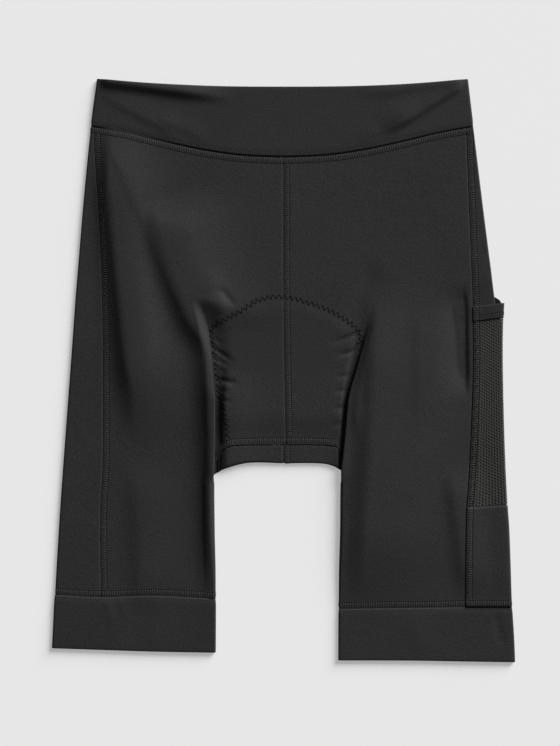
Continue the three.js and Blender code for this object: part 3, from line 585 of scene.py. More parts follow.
def front_height(side, out, y):
    """Height of the front cloth's middle: at rest, lifted by folds and pad, held clear of the back and
    eased down to the side fold."""
    x = side_sign[side] * out
    z = front_rest + folds_lift(front_folds, x, y) + pad_lift(x, y) + pucker_lift(x, y)
    room = highest - easing
    eased = highest - room**2 / (room + np.maximum(z - easing, 0))
    held = np.maximum(lowest, np.where(z > easing, eased, z))
    over_pocket = smooth((pocket_mouth["back"] + mouth_from - y) / pocket_over)
    above_cuff = smooth((y - pocket_foot) / pocket_over)
    fold_rest = front_rest + (pocket_rise * over_pocket * above_cuff if side == "right" else 0)
    inside_fold = smooth((at(side_fold, side, y) - fold_margin - out) / fold_ease)
    return mix(fold_rest, held, inside_fold)


tuck = {
    "y": [229, 66, 52, 38, 17, -7, -30, -272.5],
    "left": [0, 0, 0.45, 0.85, 1, 1, 1, 1],
    "right": [0, 0, 0.2, 0.6, 1, 1, 1, 1],
    "lap": [0, 0, 0, 0.05, 0.36, 0.62, 1, 1],
}
tuck_swell = {"left": 2.9, "right": 1.8}  # how much higher than a plain lap the tucked layers stand
tuck_places = np.arange(tuck_end + 1)
tuck_steps = np.stack(tuck_section(tuck_places), -1)
tuck_lengths = np.r_[0, np.cumsum(np.linalg.norm(np.diff(tuck_steps, axis=0), axis=1))]
tuck_shares = tuck_lengths / tuck_lengths[-1]


def tucked_points(side, place, share):
    """Front cloth in the tuck: flat above where it forms, then a plain ramp, then three lapped layers."""
    fold_y = level(side, fold_out, share)
    line = fold_line(side, fold_y)
    cloth_share = np.interp(place, tuck_places, tuck_shares)
    flat_out = line + mix(-tuck_reach, tuck_reach, cloth_share)
    across, rise = tuck_section(place)
    rise = rise * tuck_swell[side]
    folded_out = line + across
    to_crest = smooth((place - tuck_leg) / (tuck_end - tuck_leg))
    lap = np.clip(through(tuck["y"], tuck["lap"], fold_y), 0, 1)
    risen = np.clip(at(tuck, side, fold_y), 0, 1)
    foot = tuck_shares[tuck_start]
    crest_y, flat_y = level(side, line + tuck_reach, share), level(side, flat_out, share)
    crest = front_height(side, line + tuck_reach, crest_y)
    beside = crotch_height(side, mix(flat_out, folded_out, lap), fold_y)
    ramp = mix(beside, crest, smooth((cloth_share - foot) / (1 - foot)))
    low = at(crotch_rest, side, fold_y)
    base = np.where(place < tuck_start, crotch_height(side, folded_out, fold_y), low)
    over = front_height(side, folded_out, level(side, folded_out, share))
    folded_z = mix(ramp, mix(base + rise, over, to_crest), lap)
    out = mix(flat_out, folded_out, lap)
    z = mix(front_height(side, flat_out, flat_y), folded_z, risen)
    return points(side_sign[side] * out, level(side, out, share), z)


def closed_points(side, s, share, z_under):
    """Front cloth of a closed leg: flat under the leg from the inseam, a half circle round its inner fold,
    and up to the crest."""
    y = level(side, fold_out, share)
    outline = at(inner_fold, side, y)
    z_top = front_height(side, outline + tuck_turn + tuck_lap, y)
    crest = fold_line(side, y) + tuck_reach
    under, over = 0.5, 0.86  # shares of the row where the half circle starts and ends
    turning = np.clip((s - under) / (over - under), 0, 1)
    across, z = turned(outline, -1, z_top, z_under, 1 - turning)
    to_inseam, to_crest = np.clip(1 - s / under, 0, 1), np.clip((s - over) / (1 - over), 0, 1)
    out = mix(mix(across, outline + under_leg, to_inseam), crest, to_crest)
    z = mix(z, front_height(side, out, level(side, out, share)), to_crest)
    return points(side_sign[side] * out, level(side, out, share), z)


def along_stops(stops, steps):
    """Places from the first stop to the last, with a number of even steps in each stretch between them."""
    stretches = [np.linspace(a, b, n + 1)[:-1] for a, b, n in zip(stops[:-1], stops[1:], steps)]
    return np.concatenate([*stretches, stops[-1:]])


crotch_columns, leg_columns = 34, 84
tuck_columns = along_stops([0, tuck_start, tuck_middle, tuck_over, tuck_leg, tuck_end], [5, 9, 3, 9, 10])
first_rise = 1.4  # how far the underside of the first closed row is lifted
squeezed_by = 0.5  # share of the crotch's last two rows over which their offset from the level fades


def front_panel(side):
    """A front panel's grid. Rows end on the centre seam, then on the crotch seam, then at the inseam."""
    shares = row_shares(side)
    share, i = shares[:, None], np.arange(len(shares))[:, None]
    inner = crotch_columns + len(tuck_columns) - 1
    place = tuck_columns[None, :]
    fold_y = level(side, fold_out, share)
    line = fold_line(side, fold_y)
    on_centre = np.clip(i / body_rows, 0, 1)
    crotch_top = crotch_y(side, 0.0) + seam_gap / 2
    centre_y = mix(level(side, 0.0, 0.0), crotch_top, on_centre)
    centre = side_sign[side] * through(centre_seam["y"], centre_seam["x"], centre_y) + seam_gap / 2
    row = np.clip(i - body_rows, 0, crotch_rows)
    station = crotch_station(side, row)
    end_out = np.where(i <= body_rows, centre, station)
    end_y = np.where(i <= body_rows, centre_y, crotch_y(side, station) + seam_gap / 2)
    skew = end_y - level(side, end_out, share)

    in_crotch = (np.arange(crotch_columns) / crotch_columns)[None, :]
    out = mix(end_out, line - tuck_reach, in_crotch)
    y = level(side, out, share) + skew * (1 - in_crotch**2)
    risen = np.clip(at(tuck, side, fold_y), 0, 1)
    z = mix(front_height(side, out, y), crotch_height(side, out, y), risen)
    open_rows = np.concatenate([
        points(side_sign[side] * out, y, z),
        tucked_points(side, place, share),
    ], axis=1)

    count = inner + 1
    s = np.linspace(0, 1, count)[None, :]
    own = np.concatenate([np.zeros(crotch_columns), tuck_columns])[None, :]
    steps = np.arange(count)[None, :]
    for back, start, end in [(1, corner_place, tuck_start), (0, tip_place, tuck_middle)]:
        r = body_rows + crotch_rows - back
        reach = crotch_columns + np.searchsorted(tuck_columns, end)
        squeezed = np.maximum(mix(start, end, np.minimum(steps / reach, 1)), own)
        spots = tucked_points(side, squeezed, share[r : r + 1])
        spots[..., 1] += skew[r] * (1 - smooth(s / squeezed_by))
        open_rows[r] = spots[0]
    first_closed = body_rows + crotch_rows + 1
    z_under = np.where(i == first_closed, back_rest + first_rise, back_rest)
    closed = closed_points(side, s, share, z_under)
    grid = np.where((i >= first_closed)[..., None], closed, open_rows)
    grid = through(shares, grid, finer(shares))[:, :-1]

    share = finer(shares)[:, None]
    crest = fold_line(side, level(side, fold_out, share)) + tuck_reach
    seam = at(side_seam, side, level(side, seam_out, share)) - seam_gap / 2
    out = mix(crest, seam, np.linspace(0, 1, leg_columns + 1)[None, :])
    y = level(side, out, share)
    leg = points(side_sign[side] * out, y, front_height(side, out, y))
    return np.concatenate([grid, leg], axis=1)


def sewn(node, grid, thickness, ring=False, inside=None):
    """A piece of knit that stands for a node, as a wall. Gives the wall's outer points."""
    *piece_wall, outer = wall(grid, thickness, ring)
    piece = cloth_object(f"{node}_knit", [piece_wall], charcoal, inside)
    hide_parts(node)
    return outer


front_outer = {}
for side in ("left", "right"):
    grid = rolled(left_to_right(side, front_panel(side)), *all_edges)
    front_outer[side] = sewn(f"front_{side}", grid, cloth)

# Side panels: a narrow piece of knit on each side, from the waistband to the cuff, that wraps round the
# side fold. Its front seam shows on the thigh. Its back seam lies under the garment.
pocket_ramp = 7.0
under_pocket = 1.6  # how far the side panel's underside is lifted by the pocket's back


def back_height(side, out, y):
    """Height of the back cloth's middle: flat, but on the right lifted over the pocket's underside."""
    if side == "left":
        return back_rest + 0 * (out + y)
    from_seam = smooth((out - at(side_seam, side, y)) / pocket_ramp)
    from_mouth = smooth((pocket_mouth["back"] + mouth_from - y) / (mouth_from - mouth_to))
    return back_rest + under_pocket * from_seam * from_mouth


edge_out = 180.0  # about where the side folds are
side_columns = 16
turn_shares = np.linspace(0, 1, 15)  # places round a half circle


def side_panel(side):
    """A side panel's grid: out from its front seam, a half circle round the fold, and in to its back
    seam."""
    share = finer(row_shares(side))[:, None]
    y = level(side, edge_out, share)
    outline = at(side_fold, side, y)
    seam = at(side_seam, side, level(side, seam_out, share)) + seam_gap / 2
    z_front, z_back = front_height(side, outline, y), back_height(side, outline, y)
    start = turned(outline, 1, z_front, z_back, 0.0)[0]
    s = np.linspace(0, 1, side_columns + 1)[None, :-1]
    out = mix(seam, start, s)
    front = points(side_sign[side] * out, level(side, out, share), front_height(side, out, y))
    turn = turn_shares[None, :]
    across, z = turned(outline, 1, z_front, z_back, turn)
    fold = points(side_sign[side] * across, level(side, across, share, turn), z)
    s = np.linspace(0, 1, side_columns + 1)[None, 1:]
    out = mix(start, seam, s)
    back = points(side_sign[side] * out, level(side, out, share, 1), back_height(side, out, y))
    return left_to_right(side, np.concatenate([front, fold, back], axis=1))


side_outer = {}
for side in ("left", "right"):
    grid = rolled(side_panel(side), *all_edges)
    side_outer[side] = sewn(f"side_{side}", grid, cloth)

# Pocket: a net pouch on the right thigh, with a bound mouth and a plain piece of knit below it. It wraps
# round the side panel from the front side seam to the back one, and its fold stands out at the mouth.
pocket_fold = {
    "y": [68, 50, 19, -30, -80, -126, -150, -222],
    "out": [206.6, 205.7, 205.2, 205.9, 207.4, 209.6, 211.2, 213.6],
}
base_top = {"front": -128.2, "fold": -125.8, "back": -125.8}
binding_depth, binding_cloth, net_cloth = 14.0, 0.9, 0.5
pocket_margin, cuff_clearance, ground_clearance, layer_gap = 9.0, 0.15, 0.15, 0.08


back_bend = 0.55  # power that takes an edge to its height on the back soon after the fold


def edge_at(edge, place):
    """Height of an edge of the pocket: straight from its front, place 0, to the fold, 0.5, then bent to
    1."""
    onto_back = np.maximum(place * 2 - 1, 0) ** back_bend
    return np.where(
        place < 0.5,
        mix(edge["front"], edge["fold"], place * 2),
        mix(edge["fold"], edge["back"], onto_back),
    )


pocket_columns = 14


def pocket_piece(top, bottom, rows, thickness):
    """A piece of the pocket between two edges: over the side panel, round the fold and back under it."""
    share = np.linspace(0, 1, rows + 1)[:, None]

    def y_at(place):
        """Heights of the rows at a place, evenly from the top edge to the bottom one."""
        return mix(top(place), bottom(place), share)

    above = cloth / 2 + layer_gap + thickness / 2
    y = y_at(np.array(0.5))
    outline = through(pocket_fold["y"], pocket_fold["out"], y)
    z_back = thickness / 2 + ground_clearance
    z_front = front_height("right", at(side_fold, "right", y), y) + above
    start = turned(outline, 1, z_front, z_back, 0.0)[0]
    s = np.linspace(0, 1, pocket_columns + 1)[None, :-1]
    out = mix(at(side_seam, "right", y) + seam_gap, start, s)
    front = points(out, y_at(s / 2), front_height("right", out, y_at(s / 2)) + above)
    turn = turn_shares[None, :]
    across, z = turned(outline, 1, z_front, z_back, turn)
    fold = points(across, y, z)
    s = np.linspace(0, 1, pocket_columns + 1)[None, 1:]
    back = points(mix(start, at(side_seam, "right", y) + pocket_margin, s), y_at(0.5 + s / 2), z_back)
    return np.concatenate([front, fold, back], axis=1)


def mouth_edge(place):
    """The top of the binding."""
    return edge_at(pocket_mouth, place)


def binding_edge(place):
    """The foot of the binding."""
    return mouth_edge(place) - binding_depth


def net_top(place):
    """The top of the net, a seam's gap below the binding."""
    return binding_edge(place) - seam_gap


def net_foot(place):
    """The foot of the net."""
    return edge_at(base_top, place)


def base_edge(place):
    """The top of the plain piece, a seam's gap below the net."""
    return net_foot(place) - seam_gap


def foot_edge(place):
    """The foot of the plain piece, level above the cuff."""
    cuff = through(cuff_edges["out"], cuff_edges["right seam"], seam_out)
    return cuff + cuff_clearance + 0 * place


# The pocket's inner faces get a near-black knit: painted shade, for the inside of the pocket seen through its
# mouth.
painted_shade_dark, painted_shade_lighter = (0.0030, 0.0028, 0.0028), (0.0050, 0.0047, 0.0047)
pocket_inside_painted_shade = knit_material("binding_inside_painted_shade", painted_shade_dark, painted_shade_lighter, specular=0.1)
pocket_outer = {}
for name, top, bottom, rows, thickness in [
    ("binding", mouth_edge, binding_edge, 10, binding_cloth),
    ("base", base_edge, foot_edge, 50, cloth),
]:
    grid = rolled(pocket_piece(top, bottom, rows, thickness), (1, 0))
    pocket_outer[name] = sewn(f"pocket_{name}", grid, thickness, inside=pocket_inside_painted_shade)


def surface_of(grid):
    """A grid's points and its normals side by side, as one array."""
    return np.concatenate([grid, normals(grid)], axis=2)


def on_surface(surface, u, d):
    """Points and normals on a surface, straight between its own: u along its first row and d in from it."""
    u, d = np.broadcast_arrays(u, d)
    shape, u, d, each = u.shape, u.ravel(), d.ravel(), np.arange(u.size)
    run = np.r_[0, np.cumsum(np.linalg.norm(np.diff(surface[0, :, :3], axis=0), axis=1))]
    column = np.interp(u, run, np.arange(len(run)))
    low = np.minimum(column.astype(int), len(run) - 2)
    near = mix(surface[:, low], surface[:, low + 1], (column - low)[:, None])
    steps = np.linalg.norm(np.diff(near[..., :3], axis=0), axis=2)
    depth = np.concatenate([0 * steps[:1], np.cumsum(steps, axis=0)])
    row = np.clip((depth <= d).sum(axis=0) - 1, 0, len(surface) - 2)
    share = (d - depth[row, each]) / (depth[row + 1, each] - depth[row, each])
    found = mix(near[row, each], near[row + 1, each], share[:, None])
    return found.reshape(*shape, 6)


lowest_thread = 0.01  # threads on the underside lie no lower than this


def tubes(places, lift, half_width, half_height):
    """Closed four-sided tubes along many threads at once, from places that are threads by points by six:
    their points raised along the normals, with a corner to each side, one above and one below."""
    normal = places[..., 3:] / np.linalg.norm(places[..., 3:], axis=-1, keepdims=True)
    centre = places[..., :3] + normal * np.broadcast_to(lift, places.shape[:2])[..., None]
    along = np.gradient(centre, axis=1)
    side = np.cross(along, normal)
    side = side / np.linalg.norm(side, axis=-1, keepdims=True)
    to_side, to_top = side * half_width, normal * half_height
    corners = np.stack([to_side, to_top, -to_side, -to_top], axis=2)
    vertices = centre[:, :, None] + corners
    vertices[..., 2] = np.maximum(vertices[..., 2], lowest_thread)
    index = np.arange(vertices.size // 3).reshape(vertices.shape[:3])
    a, b = index[:, :-1], index[:, 1:]
    sides = np.stack([a, b, np.roll(b, -1, axis=2), np.roll(a, -1, axis=2)], axis=-1)
    return vertices.reshape(-1, 3), np.concatenate([sides.reshape(-1, 4), index[:, 0], index[:, -1, ::-1]])


# The net: wavy strands side by side that touch their neighbours by turns and leave six-sided holes
strand_pitch, strand_wave, wave_steps = 2.2, 2.9, 6
strand_half_width, strand_half_height = 0.6, 0.16
strand_touch = 0.8  # distance between the middles of two strands where they touch, as a share of their width
net_margin = 0.2
net_grid = rolled(pocket_piece(net_top, net_foot, 60, net_cloth), (1, 0))
pocket_outer["net"] = wall(net_grid, net_cloth)[2]
net_width = np.linalg.norm(np.diff(net_grid[0], axis=0), axis=1).sum()
net_length = np.linalg.norm(np.diff(net_grid[:, 0], axis=0), axis=1).sum()
strand_u = np.arange(strand_half_width, net_width, strand_pitch)[:, None]
strand_d = np.arange(0, net_length, strand_wave / wave_steps)[None, :]
swing = (strand_pitch / 2 - strand_half_width * strand_touch) * np.cos(2 * np.pi * strand_d / strand_wave)
by_turns = np.where(np.arange(len(strand_u)) % 2, -1, 1)[:, None]
strand_u = np.clip(strand_u + by_turns * swing, net_margin, net_width - net_margin)
strand_places = on_surface(surface_of(net_grid), strand_u, strand_d)
strands = tubes(strand_places, 0.0, strand_half_width, strand_half_height)
net_yarn = knit_material("net_yarn", (0.0225, 0.0231, 0.0208), (0.0350, 0.0359, 0.0326), roughness=0.6)
net = cloth_object("pocket_net_mesh", [strands], net_yarn, rounded=False)
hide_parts("pocket_net")

# Cuffs: a doubled band of the same knit at the foot of each leg, sewn on along its top edge and folded at
# its hem, with no seam on the front.
band_cloth = 1.3  # thickness of a doubled band
cuff_rest, band_under = 3.3, 0.75  # heights of the middle of its front and of its back
cuff_fold = {
    "y": [-208, -222, -250, -272.5],
    "left": [213.6, 214.4, 215.7, 216.9],
    "right": [213, 213.6, 215.4, 216.4],
}
band_ease = 9.0  # over how far a band's folds fade beside its side folds
hem_round, seam_round = 2.2, 6.0  # lengths over which a doubled band thins to its folded edge and to its seam
hem_share, seam_share = 0.25, 0.4  # shares of its thickness that are left there


def doubled(grid, thickness):
    """Thickness of a doubled band at each of its rows: thinned to its seam at the first row, full between,
    and rounded off to the fold at its last row."""
    steps = np.linalg.norm(np.diff(grid, axis=0), axis=2).mean(axis=1)
    from_fold = np.concatenate([np.cumsum(steps[::-1])[::-1], [0.0]])
    hem = mix(hem_share, 1, np.sqrt(1 - (1 - np.clip(from_fold / hem_round, 0, 1)) ** 2))
    seam = mix(seam_share, 1, smooth(np.r_[0, np.cumsum(steps)] / seam_round))
    return thickness * np.minimum(hem, seam)


hem_rows = np.array([0.35, 0.6, 0.8, 0.92, 1])  # places of the last rows, in the last even step


def with_hem(rows):
    """Shares of a band's rows, evenly from its seam and closer together at its folded edge."""
    even = np.linspace(0, 1, rows + 1)
    return np.concatenate([even[:-1], mix(even[-2], 1, hem_rows)])


def band_rows(band, stations, rows):
    """A band all round between two folds. Stations 0 to 1 run along the back, 1 to 2 over the left fold, 2
    to 3 along the front and 3 to 4 over the right fold."""
    row = with_hem(rows)[:, None]
    if band["hem first"]:
        row = 1 - row[::-1]
    place = (np.asarray(stations, float) % 4)[None, :]
    stretch = np.floor(place)
    share = place - stretch
    backness = np.choose(stretch.astype(int), [1 + 0 * share, 1 - share, 0 * share, share])
    middle_y = mix(band["top"](band["middle"]), band["bottom"](band["middle"], 0.5), row)
    left_fold, right_fold = band["left fold"](middle_y), band["right fold"](middle_y)
    rest = band["rest"]
    x_left = turned(left_fold, -1, rest, band_under, 0.0)[0]
    x_right = turned(right_fold, 1, rest, band_under, 0.0)[0]
    over_left = turned(left_fold, -1, rest, band_under, backness)
    over_right = turned(right_fold, 1, rest, band_under, backness)
    stretches = [stretch == k for k in range(4)]
    x = np.select(stretches, [
        mix(x_right, x_left, share), over_left[0], mix(x_left, x_right, share), over_right[0],
    ])
    y = mix(band["top"](x), band["bottom"](x, backness), row)
    near = smooth(np.minimum(x - x_left, x_right - x) / band_ease)
    front_z = rest + near * folds_lift(band["folds"], x, y)
    z = np.select(stretches, [band_under, over_left[1], front_z, over_right[1]])
    return points(x, y, z)


# The panels' folds run on into the cuffs, which have some of their own
cuff_folds = {
    "left outer gather": (-166, -212, -160, -238, 0, 0.35, 4, 6),
    "left middle gather": (-152, -211, -150, -232, 0, 0.25, 3, 5),
    "right outer gather": (196, -222, 204, -262, 0, -0.45, 3, 5),
    "right long wave": (120, -224, 134, -268, 3, 0.3, 9, 12),
    "left long wave": (-112, -212, -122, -262, 2, 0.3, 9, 12),
}


def cuff(side):
    """A cuff's edges and folds, for its band. The left leg's inner fold is the one on its right."""

    def seam_edge(x):
        """Height of the seam at its top."""
        return through(cuff_edges["out"], cuff_edges[side + " seam"], np.abs(x)) - seam_gap / 2

    def hem_edge(x, backness):
        """Height of its hem, the same on the front and the back."""
        return through(cuff_edges["out"], cuff_edges[side + " hem"], np.abs(x))

    def inner_line(y):
        """Place of its inner fold."""
        return side_sign[side] * at(inner_fold, side, y)

    def outer_line(y):
        """Place of its outer fold."""
        return side_sign[side] * at(cuff_fold, side, y)

    return {
        "top": seam_edge,
        "bottom": hem_edge,
        "middle": 140.0,  # where across it the height of a row is taken for the folds
        "rest": cuff_rest,
        "folds": {**front_folds, **cuff_folds},
        "hem first": False,
        "left fold": outer_line if side == "left" else inner_line,
        "right fold": inner_line if side == "left" else outer_line,
    }


cuff_stations = along_stops([0, 1, 2, 3, 4], [90, 16, 90, 16])[:-1]
for side in ("left", "right"):
    grid = band_rows(cuff(side), cuff_stations, 30)
    sewn(f"cuff_{side}", grid, doubled(grid, band_cloth), ring=True)

# Waistband: a deep doubled band of knit with a folded top edge, in a front and a back piece that meet at
# the side folds. The seam below it dips to the centre.
waist_rest = 3.45  # height of the middle of its front
waist_top = {"y": 265.1, "rise": 7.4, "half": 174.0, "power": 2.6}
band_folds = {
    "left top roll": (-236, 280, -42, 254, 0, 3.8, 5.5, 9),
    "left corner fold": (-174, 260, -92, 217, 0, 0.7, 5, 12),
    "left low fold": (-120, 238, -66, 214, 0, 0.5, 5, 9),
    "right corner fold": (183, 276.6, 90, 219, 0, 2.4, 15, 3.8),
    "right top roll": (66, 257, 200, 276.5, 0, 1.0, 6, 6),
    "right low fold": (134, 244, 66, 212, 0, 0.5, 10, 5),
}


def waist_top_y(x):
    """Height of the top edge: lowest at the centre and rising to the corners."""
    return waist_top["y"] + waist_top["rise"] * (np.abs(x) / waist_top["half"]) ** waist_top["power"]


def waist_bottom_y(x, backness):
    """Height of the seam below the band, which dips lower on the front than on the back."""
    front = through(waist_seam["out"], waist_seam["front"], np.abs(x))
    back = through(waist_seam["out"], waist_seam["back"], np.abs(x))
    return mix(front, back, backness) + seam_gap / 2


waistband = {
    "top": waist_top_y,
    "bottom": waist_bottom_y,
    "middle": 176.0,
    "rest": waist_rest,
    "folds": band_folds,
    "hem first": True,
    "left fold": lambda y: -at(side_fold, "left", y),
    "right fold": lambda y: at(side_fold, "right", y),
}
side_gap = 0.05  # half the gap between the two pieces at a side fold, as a share of its half circle
for name, start in [("front", 1), ("back", 3)]:
    first, last = start + 0.5 + side_gap, start + 2.5 - side_gap
    grid = band_rows(waistband, along_stops([first, start + 1, start + 2, last], [8, 160, 8]), 40)
    sewn(f"waistband_{name}", grid, doubled(grid[::-1], band_cloth)[::-1])

# Stitching: flat seams whose cover thread, a polyester thread a little lighter than the knit, crosses from
# edge to edge beside a row of dark needle stitches. A long dark strand in each seam's groove is painted
# shade. A dark zigzag sews the pad in round its arch.
band_first, band_wide, dash_gap = 1.5, 4.4, 0.5  # from the seam to the rungs, across them, on to the dashes
past_band = band_first + band_wide + 0.9
mouth_first, mouth_wide = 3.0, 2.2  # the same for the pocket's mouth
strip_trim = (0.5, 4.0)  # what the centre seam's stitches leave free on the strip below the crotch seam
stitch_pitch, centre_pitch, crotch_pitch = 2.2, 1.8, 2.0
edge_lines = 16  # lines of a grid that a band beside its edge can reach
# The points of a rung across the band and of a dash along it, their lift, and half widths and heights of
# the threads. The long dark strand in the seam is painted shade of its groove; it lies a little in from the
# seam and sunk, and ends before the seam does.
rung_across, rung_slant, rung_size = np.linspace(0, 1, 4), 0.3, (0.36, 0.16)
rung_lift, dash_lift = np.array([0.0, 0.16, 0.16, 0.0]), np.array([-0.04, 0.1, -0.04])
dash_along, dash_size = np.array([-0.46, 0, 0.46]), (0.55, 0.18)
shade_line_in, shade_line_size, shade_line_sink, shade_line_step, shade_line_end = 0.35, (0.95, 0.25), -0.05, 3.0, 0.2


def stitch_band(surface, pitch, trim=(0.0, 0.0), first=band_first, wide=band_wide, line=True):
    """Threads of a flat seam along a surface's first row. The light ones are rungs across the band, each a
    little aslant. The dark ones are a row of needle stitches beyond it and, in the seam itself, one long
    strand that is painted shade of the seam's groove."""
    length = np.linalg.norm(np.diff(surface[0, :, :3], axis=0), axis=1).sum()
    u = np.arange(trim[0], length - trim[1] - pitch, pitch)[:, None] + pitch / 2
    near = surface[:edge_lines]
    rungs = on_surface(near, u + pitch * rung_slant * (rung_across - 0.5), first + wide * rung_across)
    light = [tubes(rungs, rung_lift, *rung_size)]
    beyond = on_surface(near, u + pitch * dash_along, first + wide + dash_gap + 0 * dash_along)
    dark = [tubes(beyond, dash_lift, *dash_size)]
    # The long strand: painted shade in the seam's groove.
    if line:
        start, end = (max(cut_off - past_band, shade_line_end) for cut_off in trim)
        run = np.arange(start, length - end, shade_line_step)[None, :]
        dark.append(tubes(on_surface(near, run, shade_line_in + 0 * run), shade_line_sink, *shade_line_size))
    return light, dark


def joined(*grids):
    """Surfaces of several outer grids that follow each other round the garment, as one."""
    return np.concatenate([surface_of(grid) for grid in grids], axis=1)


def first_column(grid):
    """A grid's surface with its first column as the edge."""
    return np.swapaxes(surface_of(grid), 0, 1)


def last_column(grid):
    """A grid's surface with its last column as the edge."""
    return np.swapaxes(surface_of(grid)[:, ::-1], 0, 1)


left_side, left_front, left_back = side_outer["left"], front_outer["left"], back_under["left"]
right_side, right_front, right_back = side_outer["right"], front_outer["right"], back_under["right"]
all_round = joined(left_side, left_front, right_front, right_side, right_back, left_back)
left_leg = joined(left_side, left_front, left_back)
pocket_front = np.concatenate([pocket_outer[name] for name in ("binding", "net", "base")])
binding_foot = surface_of(pocket_outer["binding"])[::-1]
mouth_row = np.argmax(right_side[:, 0, 1] < pocket_mouth["front"])
crotch_row = body_rows + 3  # the last row on the centre seam, with the two lines that its rolled edge adds
bands = [
    stitch_band(all_round, stitch_pitch),
    stitch_band(left_leg[::-1], stitch_pitch),
    stitch_band(surface_of(right_front)[::-1], stitch_pitch),
    stitch_band(surface_of(right_back)[::-1], stitch_pitch),
    stitch_band(surface_of(pocket_outer["base"])[::-1], stitch_pitch, line=False),
    stitch_band(first_column(left_front), stitch_pitch, (past_band, past_band)),
    stitch_band(first_column(right_side[:mouth_row]), stitch_pitch, (past_band, 0.0)),
    stitch_band(first_column(pocket_front), stitch_pitch, (0.0, past_band)),
    stitch_band(first_column(right_front[:crotch_row]), centre_pitch, (past_band, past_band)),
    stitch_band(binding_foot, stitch_pitch, (past_band, 0.0), mouth_first, mouth_wide, line=False),
    stitch_band(last_column(left_back), stitch_pitch, (past_band, past_band)),
    stitch_band(first_column(right_back), stitch_pitch, (past_band, past_band)),
    stitch_band(last_column(right_back[:crotch_row]), centre_pitch, (past_band, 0.0)),
    stitch_band(first_column(back_outer["right"]), centre_pitch, strip_trim),
]
thread_pitches = (1250, 0)  # the twist of a thread, and no courses
seam_thread = knit_material(
    "seam_thread", (0.0180, 0.0170, 0.0168), (0.0300, 0.0285, 0.0280), pitches=thread_pitches,
)
dark_thread_and_shade = knit_material(
    "dark_thread_and_shade", (0.0035, 0.0033, 0.0033), (0.0060, 0.0057, 0.0057), 0.8, 0.15, thread_pitches,
)
cloth_object("seam_stitches", [tube for light, dark in bands for tube in light], seam_thread)
# The dark needle stitches, together with the long strands in the seams, which are painted shade.
cloth_object("dark_stitches_and_seam_shade", [tube for light, dark in bands for tube in dark], dark_thread_and_shade)

# The front cloth that the crotch's own stitches can lie on
crotch_lines, crotch_reach = crotch_row + crotch_detail * crotch_rows, crotch_columns + 8
crotch_cloth = np.concatenate([
    left_front[:crotch_lines, -crotch_reach:].reshape(-1, 3),
    right_front[:crotch_lines, :crotch_reach].reshape(-1, 3),
])


def draped(x, y, around=5.0):
    """Places on the crotch cloth seen from above, with normals straight up: heights from the four nearest
    of its points, the nearer ones counting more."""
    x, y = np.broadcast_arrays(x, y)
    low, high = crotch_cloth[:, 1] > y.min() - around, crotch_cloth[:, 1] < y.max() + around
    near = crotch_cloth[low & high]
    away = (near[:, 0] - x.reshape(-1, 1)) ** 2 + (near[:, 1] - y.reshape(-1, 1)) ** 2
    four = np.argpartition(away, 4, axis=1)[:, :4]
    weight = 1 / (np.take_along_axis(away, four, axis=1) + 0.01)
    z = (near[four, 2] * weight).sum(axis=1) / weight.sum(axis=1)
    place = np.stack([x.ravel(), y.ravel(), z, 0 * z, 0 * z, 1 + 0 * z], axis=-1)
    return place.reshape(*x.shape, 6)


pad_seam = {
    "x": [
        -52, -52, -55.6, -60, -60.6, -63.6, -66.9, -67.8, -64, -51.9,
        -39.7, -21, 0.5, 25.7, 47.2, 58.4, 66.4, 71.2, 73, 71.2,
    ],
    "y": [
        -62, -51, -35, -22.9, -10.8, 13.6, 34, 37.9, 42.5, 49.1,
        55.6, 66.9, 69.1, 63.1, 54.7, 47.7, 41.6, 36.9, 31.3, 23.8,
    ],
}
zig, zig_half_width, zig_points = 2.6, 2.3, 5  # a stitch's length along the line, half the zigzag's width
zig_lift, zig_size = 0.16, (0.5, 0.25)


def zigzag(line):
    """A zigzag along a smooth line through the given points: straight threads from side to side."""
    x, y = np.array(line["x"]), np.array(line["y"])
    keys = np.r_[0, np.cumsum(np.hypot(np.diff(x), np.diff(y)))]
    corners = np.arange(0, keys[-1], zig)
    cx, cy = through(keys, x, corners), through(keys, y, corners)
    ax, ay = np.gradient(cx), np.gradient(cy)
    turn = np.where(np.arange(len(corners)) % 2, 1, -1) * zig_half_width / np.hypot(ax, ay)
    cx, cy = cx - ay * turn, cy + ax * turn
    share = np.linspace(0, 1, zig_points)
    return mix(cx[:-1, None], cx[1:, None], share), mix(cy[:-1, None], cy[1:, None], share)


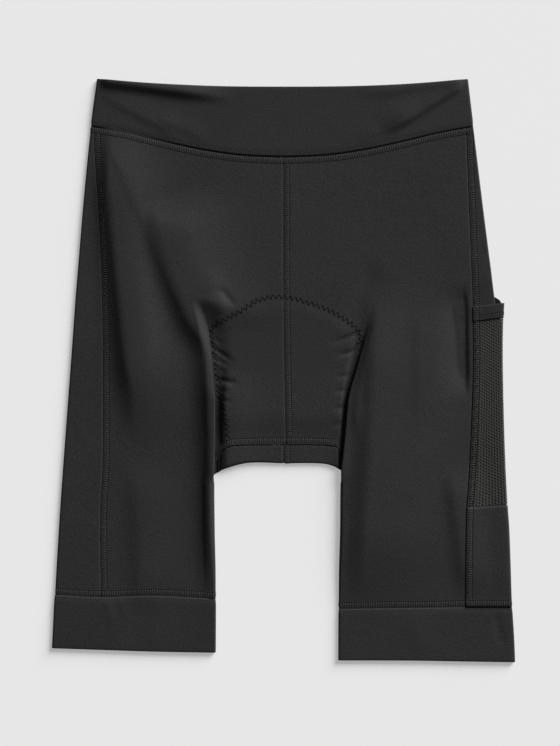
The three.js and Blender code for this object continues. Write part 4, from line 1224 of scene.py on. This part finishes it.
stitched, shade_strand_span = (-52, 47), (-56, 51)  # where the crotch seam's stitches and its long dark strand of painted shade start and end
seam_x = np.arange(*stitched, crotch_pitch)[:, None]
rung_y = crotch_y("right", seam_x) + band_first + band_wide * rung_across
rungs = draped(seam_x + rung_slant * crotch_pitch * (rung_across - 0.5), rung_y)
cloth_object("crotch_stitches", [tubes(rungs, rung_lift, *rung_size)], seam_thread)
# The long dark strand in the crotch seam is painted shade of its groove.
shade_line_x, dash_x = np.arange(*shade_strand_span, crotch_pitch)[None, :], seam_x + crotch_pitch * dash_along
seam_shade_line = draped(shade_line_x, crotch_y("right", shade_line_x) + shade_line_in)
dashes = draped(dash_x, crotch_y("right", dash_x) + band_first + band_wide + dash_gap)
crotch_threads = [tubes(seam_shade_line, shade_line_sink, *shade_line_size), tubes(dashes, dash_lift, *dash_size)]
cloth_object("crotch_dark_stitches_and_seam_shade", crotch_threads, dark_thread_and_shade)
cloth_object("pad_zigzag", [tubes(draped(*zigzag(pad_seam)), zig_lift, *zig_size)], dark_thread_and_shade)

# The surface that the shorts lie on: plain pale paper, with a soft light from the upper right and a camera
# straight above.
def ground_plane(half):
    """A flat square about the origin, in metres."""
    mesh = bpy.data.meshes.new("ground")
    corners = [(-half, -half, 0), (half, -half, 0), (half, half, 0), (-half, half, 0)]
    mesh.from_pydata(corners, [], [(0, 1, 2, 3)])
    ground = bpy.data.objects.new("ground", mesh)
    bpy.context.scene.collection.objects.link(ground)
    return ground


ground_half = 4.0
ground = ground_plane(ground_half)
paper = bpy.data.materials.new("pale_paper")
paper.use_nodes = True
paper_shader = paper.node_tree.nodes["Principled BSDF"]
paper_shader.inputs["Base Color"].default_value = (0.42, 0.42, 0.42, 1)
paper_shader.inputs["Emission Color"].default_value = (1, 1, 1, 1)
paper_shader.inputs["Emission Strength"].default_value = 0.368
paper_shader.inputs["Roughness"].default_value = 0.9
ground.data.materials.append(paper)

world = bpy.data.worlds.new("studio")
world.use_nodes = True
world.node_tree.nodes["Background"].inputs["Color"].default_value = (1, 1, 1, 1)
world.node_tree.nodes["Background"].inputs["Strength"].default_value = 0.09
bpy.context.scene.world = world

key_height, key_bearing, key_spread = np.radians([23, 48, 36])  # elevation, turn from +X to +Y, width seen
key = bpy.data.lights.new("key", "SUN")
key.energy = 7.3
key.angle = key_spread
lamp = bpy.data.objects.new("key", key)
lamp.rotation_euler = (0, np.pi / 2 - key_height, key_bearing)
bpy.context.scene.collection.objects.link(lamp)

view_middle = (-3.27 * mm, -2.34 * mm)
view_height = 697.5 * mm
camera_height = 2.6
camera_data = bpy.data.cameras.new("camera")
sensor_width = 36
camera_data.sensor_width = sensor_width
camera_data.lens = sensor_width * camera_height / view_height
camera = bpy.data.objects.new("camera", camera_data)
camera.location = (*view_middle, camera_height)
bpy.context.scene.collection.objects.link(camera)
bpy.context.scene.camera = camera
bpy.context.scene.view_settings.view_transform = "Standard"
